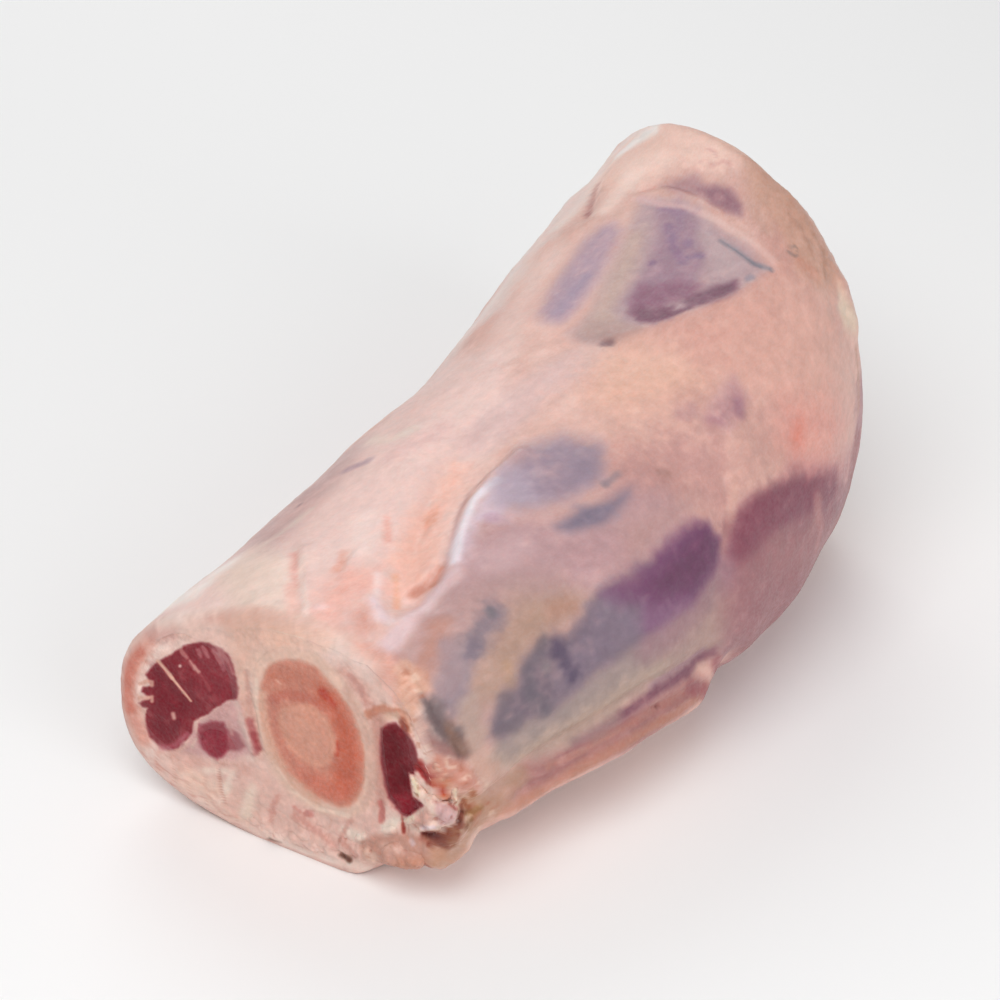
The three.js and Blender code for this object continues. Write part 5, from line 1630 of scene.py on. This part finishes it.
def build_torn_fat():
    """Torn fat at the low corner: lumps grown together, rough all over, with painted shade in their
    hollows.
    """
    chance = np.random.default_rng(LUMP_SEED)
    mesh = bmesh.new()
    for strings, uneven in TORN_GROUPS:
        for string in strings:
            for centre, radius in lumps_along(string, chance, uneven):
                add_lump(mesh, centre, radius)
    data = bpy.data.meshes.new("torn_fat_lumps")
    mesh.to_mesh(data)
    mesh.free()
    lumps = link("torn_fat_lumps", data)
    remesh = lumps.modifiers.new("grow_together", "REMESH")
    remesh.mode = "VOXEL"
    remesh.voxel_size = LUMP_VOXEL * MM
    grown = evaluated_mesh(lumps)
    points = vertices_of(lumps)
    rough = 0.45 * rough_noise(points, 2.4, 173) + 0.2 * lattice_noise(points, 0.9, 177)
    points = points + normals_of(lumps) * rough[:, None]
    points[:, 2] = np.maximum(points[:, 2], ROUGH_ABOVE_FLOOR)
    grown.vertices.foreach_set("co", to_scene(points).ravel())
    grown.update()
    colour = paint_cut(points)
    # Painted shade in the hollows.
    hollow = smoothstep(-0.1, -0.5, rough)
    set_looks(lumps, blend(colour, colour * HOLLOW_SHADE, hollow), points)
    return lumps


# ------------------------------------------------------------------ materials
# Shade is how much the colour varies, speck the fineness of the specks, and scatter how much
# light goes through.
LOOKS = {
    "silverskin": dict(shade=0.05, speck=1.3, bump=0.18,
                       rough=0.44, gloss=0.36, coat=0.10, scatter=0.2),
    "cut_fat": dict(shade=0.06, speck=1.5, bump=0.20,
                    rough=0.46, gloss=0.34, coat=0.10, scatter=0.2),
    "sawn_bone": dict(shade=0.05, speck=2.4, bump=0.20,
                      rough=0.48, gloss=0.30, coat=0.05, scatter=0.15),
    "sawn_spongy_bone": dict(shade=0.09, speck=2.2, bump=0.35,
                             rough=0.45, gloss=0.28, coat=0.06, scatter=0.15),
    "soft_marrow": dict(shade=0.05, speck=2.0, bump=0.20,
                        rough=0.42, gloss=0.30, coat=0.06, scatter=0.2),
    "cut_muscle": dict(shade=0.10, speck=1.2, bump=0.08,
                       rough=0.40, gloss=0.10, coat=0.03, scatter=0.1),
}
BLOT_SCALE = 0.22
MIDDLE_SCALE = 0.8
BUMP_DISTANCE = 0.0004
COAT_ROUGHNESS = 0.24
SCATTER_RADIUS = (1.0, 0.42, 0.28)
SCATTER_SCALE = 0.002


def new_node(tree, kind, **inputs):
    node = tree.nodes.new(kind)
    for name, number in inputs.items():
        node.inputs[name].default_value = number
    return node


def attribute_of(tree, name):
    node = tree.nodes.new("ShaderNodeAttribute")
    node.attribute_name = name
    return node


def noise_of(tree, vector, scale, detail):
    """A noise over the places in the grain."""
    node = new_node(tree, "ShaderNodeTexNoise", Scale=scale, Detail=detail, Roughness=0.6)
    tree.links.new(vector, node.inputs["Vector"])
    return node.outputs["Fac"]


def remap(tree, value, to_low, to_high):
    """Spreads the middle of a noise over a new range."""
    ranges = {"From Min": 0.3, "From Max": 0.7, "To Min": to_low, "To Max": to_high}
    node = new_node(tree, "ShaderNodeMapRange", **ranges)
    node.interpolation_type = "SMOOTHSTEP"
    tree.links.new(value, node.inputs["Value"])
    return node.outputs["Result"]


def combine(tree, operation, a, b):
    """One step of arithmetic on two values, each a number or a socket."""
    node = tree.nodes.new("ShaderNodeMath")
    node.operation = operation
    for socket, value in zip(node.inputs, (a, b)):
        if isinstance(value, float):
            socket.default_value = value
        else:
            tree.links.new(value, socket)
    return node.outputs[0]


def tissue(name, shade, speck, bump, rough, gloss, coat, scatter):
    """Moist tissue: its painted colour varied by blots and specks, fine grain, and uneven gloss."""
    material = bpy.data.materials.new(name)
    material.use_nodes = True
    tree = material.node_tree
    join = tree.links.new
    principled = tree.nodes["Principled BSDF"]
    tint = attribute_of(tree, "tint")
    vector = attribute_of(tree, "grain").outputs["Vector"]
    blots = noise_of(tree, vector, BLOT_SCALE, 5.0)
    middle = noise_of(tree, vector, MIDDLE_SCALE, 4.0)
    specks = noise_of(tree, vector, speck, 3.0)
    varied = new_node(tree, "ShaderNodeHueSaturation")
    join(tint.outputs["Color"], varied.inputs["Color"])
    value = combine(tree, "ADD", remap(tree, blots, -0.4 * shade, 0.4 * shade),
                    remap(tree, specks, 1.0 - 0.5 * shade, 1.0 + 0.5 * shade))
    join(value, varied.inputs["Value"])
    join(remap(tree, middle, 0.95, 1.05), varied.inputs["Saturation"])
    join(varied.outputs["Color"], principled.inputs["Base Color"])
    join(remap(tree, middle, rough - 0.07, rough + 0.09), principled.inputs["Roughness"])
    height = combine(tree, "ADD", combine(tree, "MULTIPLY", specks, 0.35), middle)
    relief = new_node(tree, "ShaderNodeBump", Strength=bump, Distance=BUMP_DISTANCE)
    join(height, relief.inputs["Height"])
    join(relief.outputs["Normal"], principled.inputs["Normal"])
    principled.inputs["Specular IOR Level"].default_value = gloss
    principled.inputs["Coat Weight"].default_value = coat
    principled.inputs["Coat Roughness"].default_value = COAT_ROUGHNESS
    principled.inputs["Subsurface Weight"].default_value = scatter
    principled.inputs["Subsurface Radius"].default_value = SCATTER_RADIUS
    principled.inputs["Subsurface Scale"].default_value = SCATTER_SCALE
    return material


def finish_piece(obj, slot, material, *nodes):
    """Gives a piece its material, its body and the nodes it replaces; its slot is not used."""
    obj.data.materials.clear()
    obj.data.materials.append(material)
    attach(obj, "root")
    for node in nodes:
        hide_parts(node)


# ------------------------------------------------------------------ the shank
looks = {name: tissue(name, **values) for name, values in LOOKS.items()}
finish_piece(build_skin(), "fat_silverskin", looks["silverskin"], "fat_cover")
finish_piece(build_near_cut(), "fat_silverskin", looks["cut_fat"])
finish_piece(build_torn_fat(), "fat_silverskin", looks["cut_fat"])

# Pieces that run from cut to cut, with the node that each replaces, its colour between the cuts,
# its slot and its look. Sleeves have a core, sides, rings of the near face, grain and seed. Plugs
# have sides, rings of the near face, the height of the dome, grain and seed.
THROUGH = [
    (sleeve, "bone_ring", "bone", ("spongy_bone", 300, 16, 0.06, 131),
     (232, 196, 178), "bone", "sawn_bone"),
    (sleeve, "spongy_ring", "spongy_bone", ("marrow", 300, 40, 0.12, 137),
     (204, 124, 106), "spongy_bone", "sawn_spongy_bone"),
    (plug, "marrow_core", "marrow", (160, 30, 0.2, 0.08, 141),
     (214, 156, 138), "marrow", "soft_marrow"),
    (plug, "left_muscle_meat", "left_muscle", (340, 80, 0.3, 0.18, 151),
     (140, 58, 68), "muscle", "cut_muscle"),
    (plug, "small_muscle_meat", "small_muscle", (140, 30, 0.2, 0.16, 153),
     (148, 64, 78), "muscle", "cut_muscle"),
    (plug, "right_muscle_meat", "right_muscle", (260, 44, -0.6, 0.2, 157),
     (126, 40, 50), "muscle", "cut_muscle"),
]
GRAIN_APART = 10.0
for order, (build, piece, node, sizes, colour, slot, look) in enumerate(THROUGH, 1):
    shape = build(piece, node, *sizes)
    finish_piece(paint_ends(shape, colour, GRAIN_APART * order), slot, looks[look], node)

# ------------------------------------------------------------------ floor, light and camera
FLOOR_SIZE = 6.0
FLOOR_COLOUR = (0.92, 0.92, 0.92, 1.0)
FLOOR_ROUGHNESS = 0.7
WORLD_COLOUR = (1.0, 1.0, 1.0, 1.0)
WORLD_STRENGTH = 0.42
LIGHT_AIM = Vector((0.0, 0.0, 0.06))
# Soft lights: name, place, width and power.
LIGHTS = [
    ("key", (-0.9, -0.2, 1.5), 1.3, 14.0),
    ("fill", (-0.6, -1.5, 0.7), 1.4, 10.0),
    ("back", (0.9, 1.0, 1.1), 1.2, 6.5),
]


def facing(direction):
    """The rotation that points an object's -Z in the direction."""
    return Vector(direction).to_track_quat("-Z", "Y").to_euler()


def build_floor():
    bpy.ops.mesh.primitive_grid_add(x_subdivisions=8, y_subdivisions=8, size=FLOOR_SIZE)
    floor = bpy.context.active_object
    floor.name = "studio_floor"
    material = bpy.data.materials.new("pale_floor")
    material.use_nodes = True
    principled = material.node_tree.nodes["Principled BSDF"]
    principled.inputs["Base Color"].default_value = FLOOR_COLOUR
    principled.inputs["Roughness"].default_value = FLOOR_ROUGHNESS
    floor.data.materials.append(material)


def area_light(name, place, size, power):
    data = bpy.data.lights.new(name, "AREA")
    data.shape = "DISK"
    data.size = size
    data.energy = power
    light = link(name, data)
    light.location = place
    light.rotation_euler = facing(LIGHT_AIM - Vector(place))


def build_world():
    world = bpy.data.worlds.new("pale_room")
    world.use_nodes = True
    background = world.node_tree.nodes["Background"]
    background.inputs["Color"].default_value = WORLD_COLOUR
    background.inputs["Strength"].default_value = WORLD_STRENGTH
    bpy.context.scene.world = world
    bpy.context.scene.view_settings.view_transform = "Standard"


def build_camera():
    camera = link("photo_camera", bpy.data.cameras.new("photo_camera"))
    camera.data.sensor_width = SENSOR_MM
    camera.data.lens = SENSOR_MM * FOCAL_PIXELS / PHOTO_SIDE
    camera.data.clip_start = 0.01
    camera.location = Vector(to_scene(EYE).tolist())
    camera.rotation_euler = facing((-BACKWARD).tolist())
    bpy.context.scene.camera = camera


build_floor()
for light in LIGHTS:
    area_light(*light)
build_world()
build_camera()
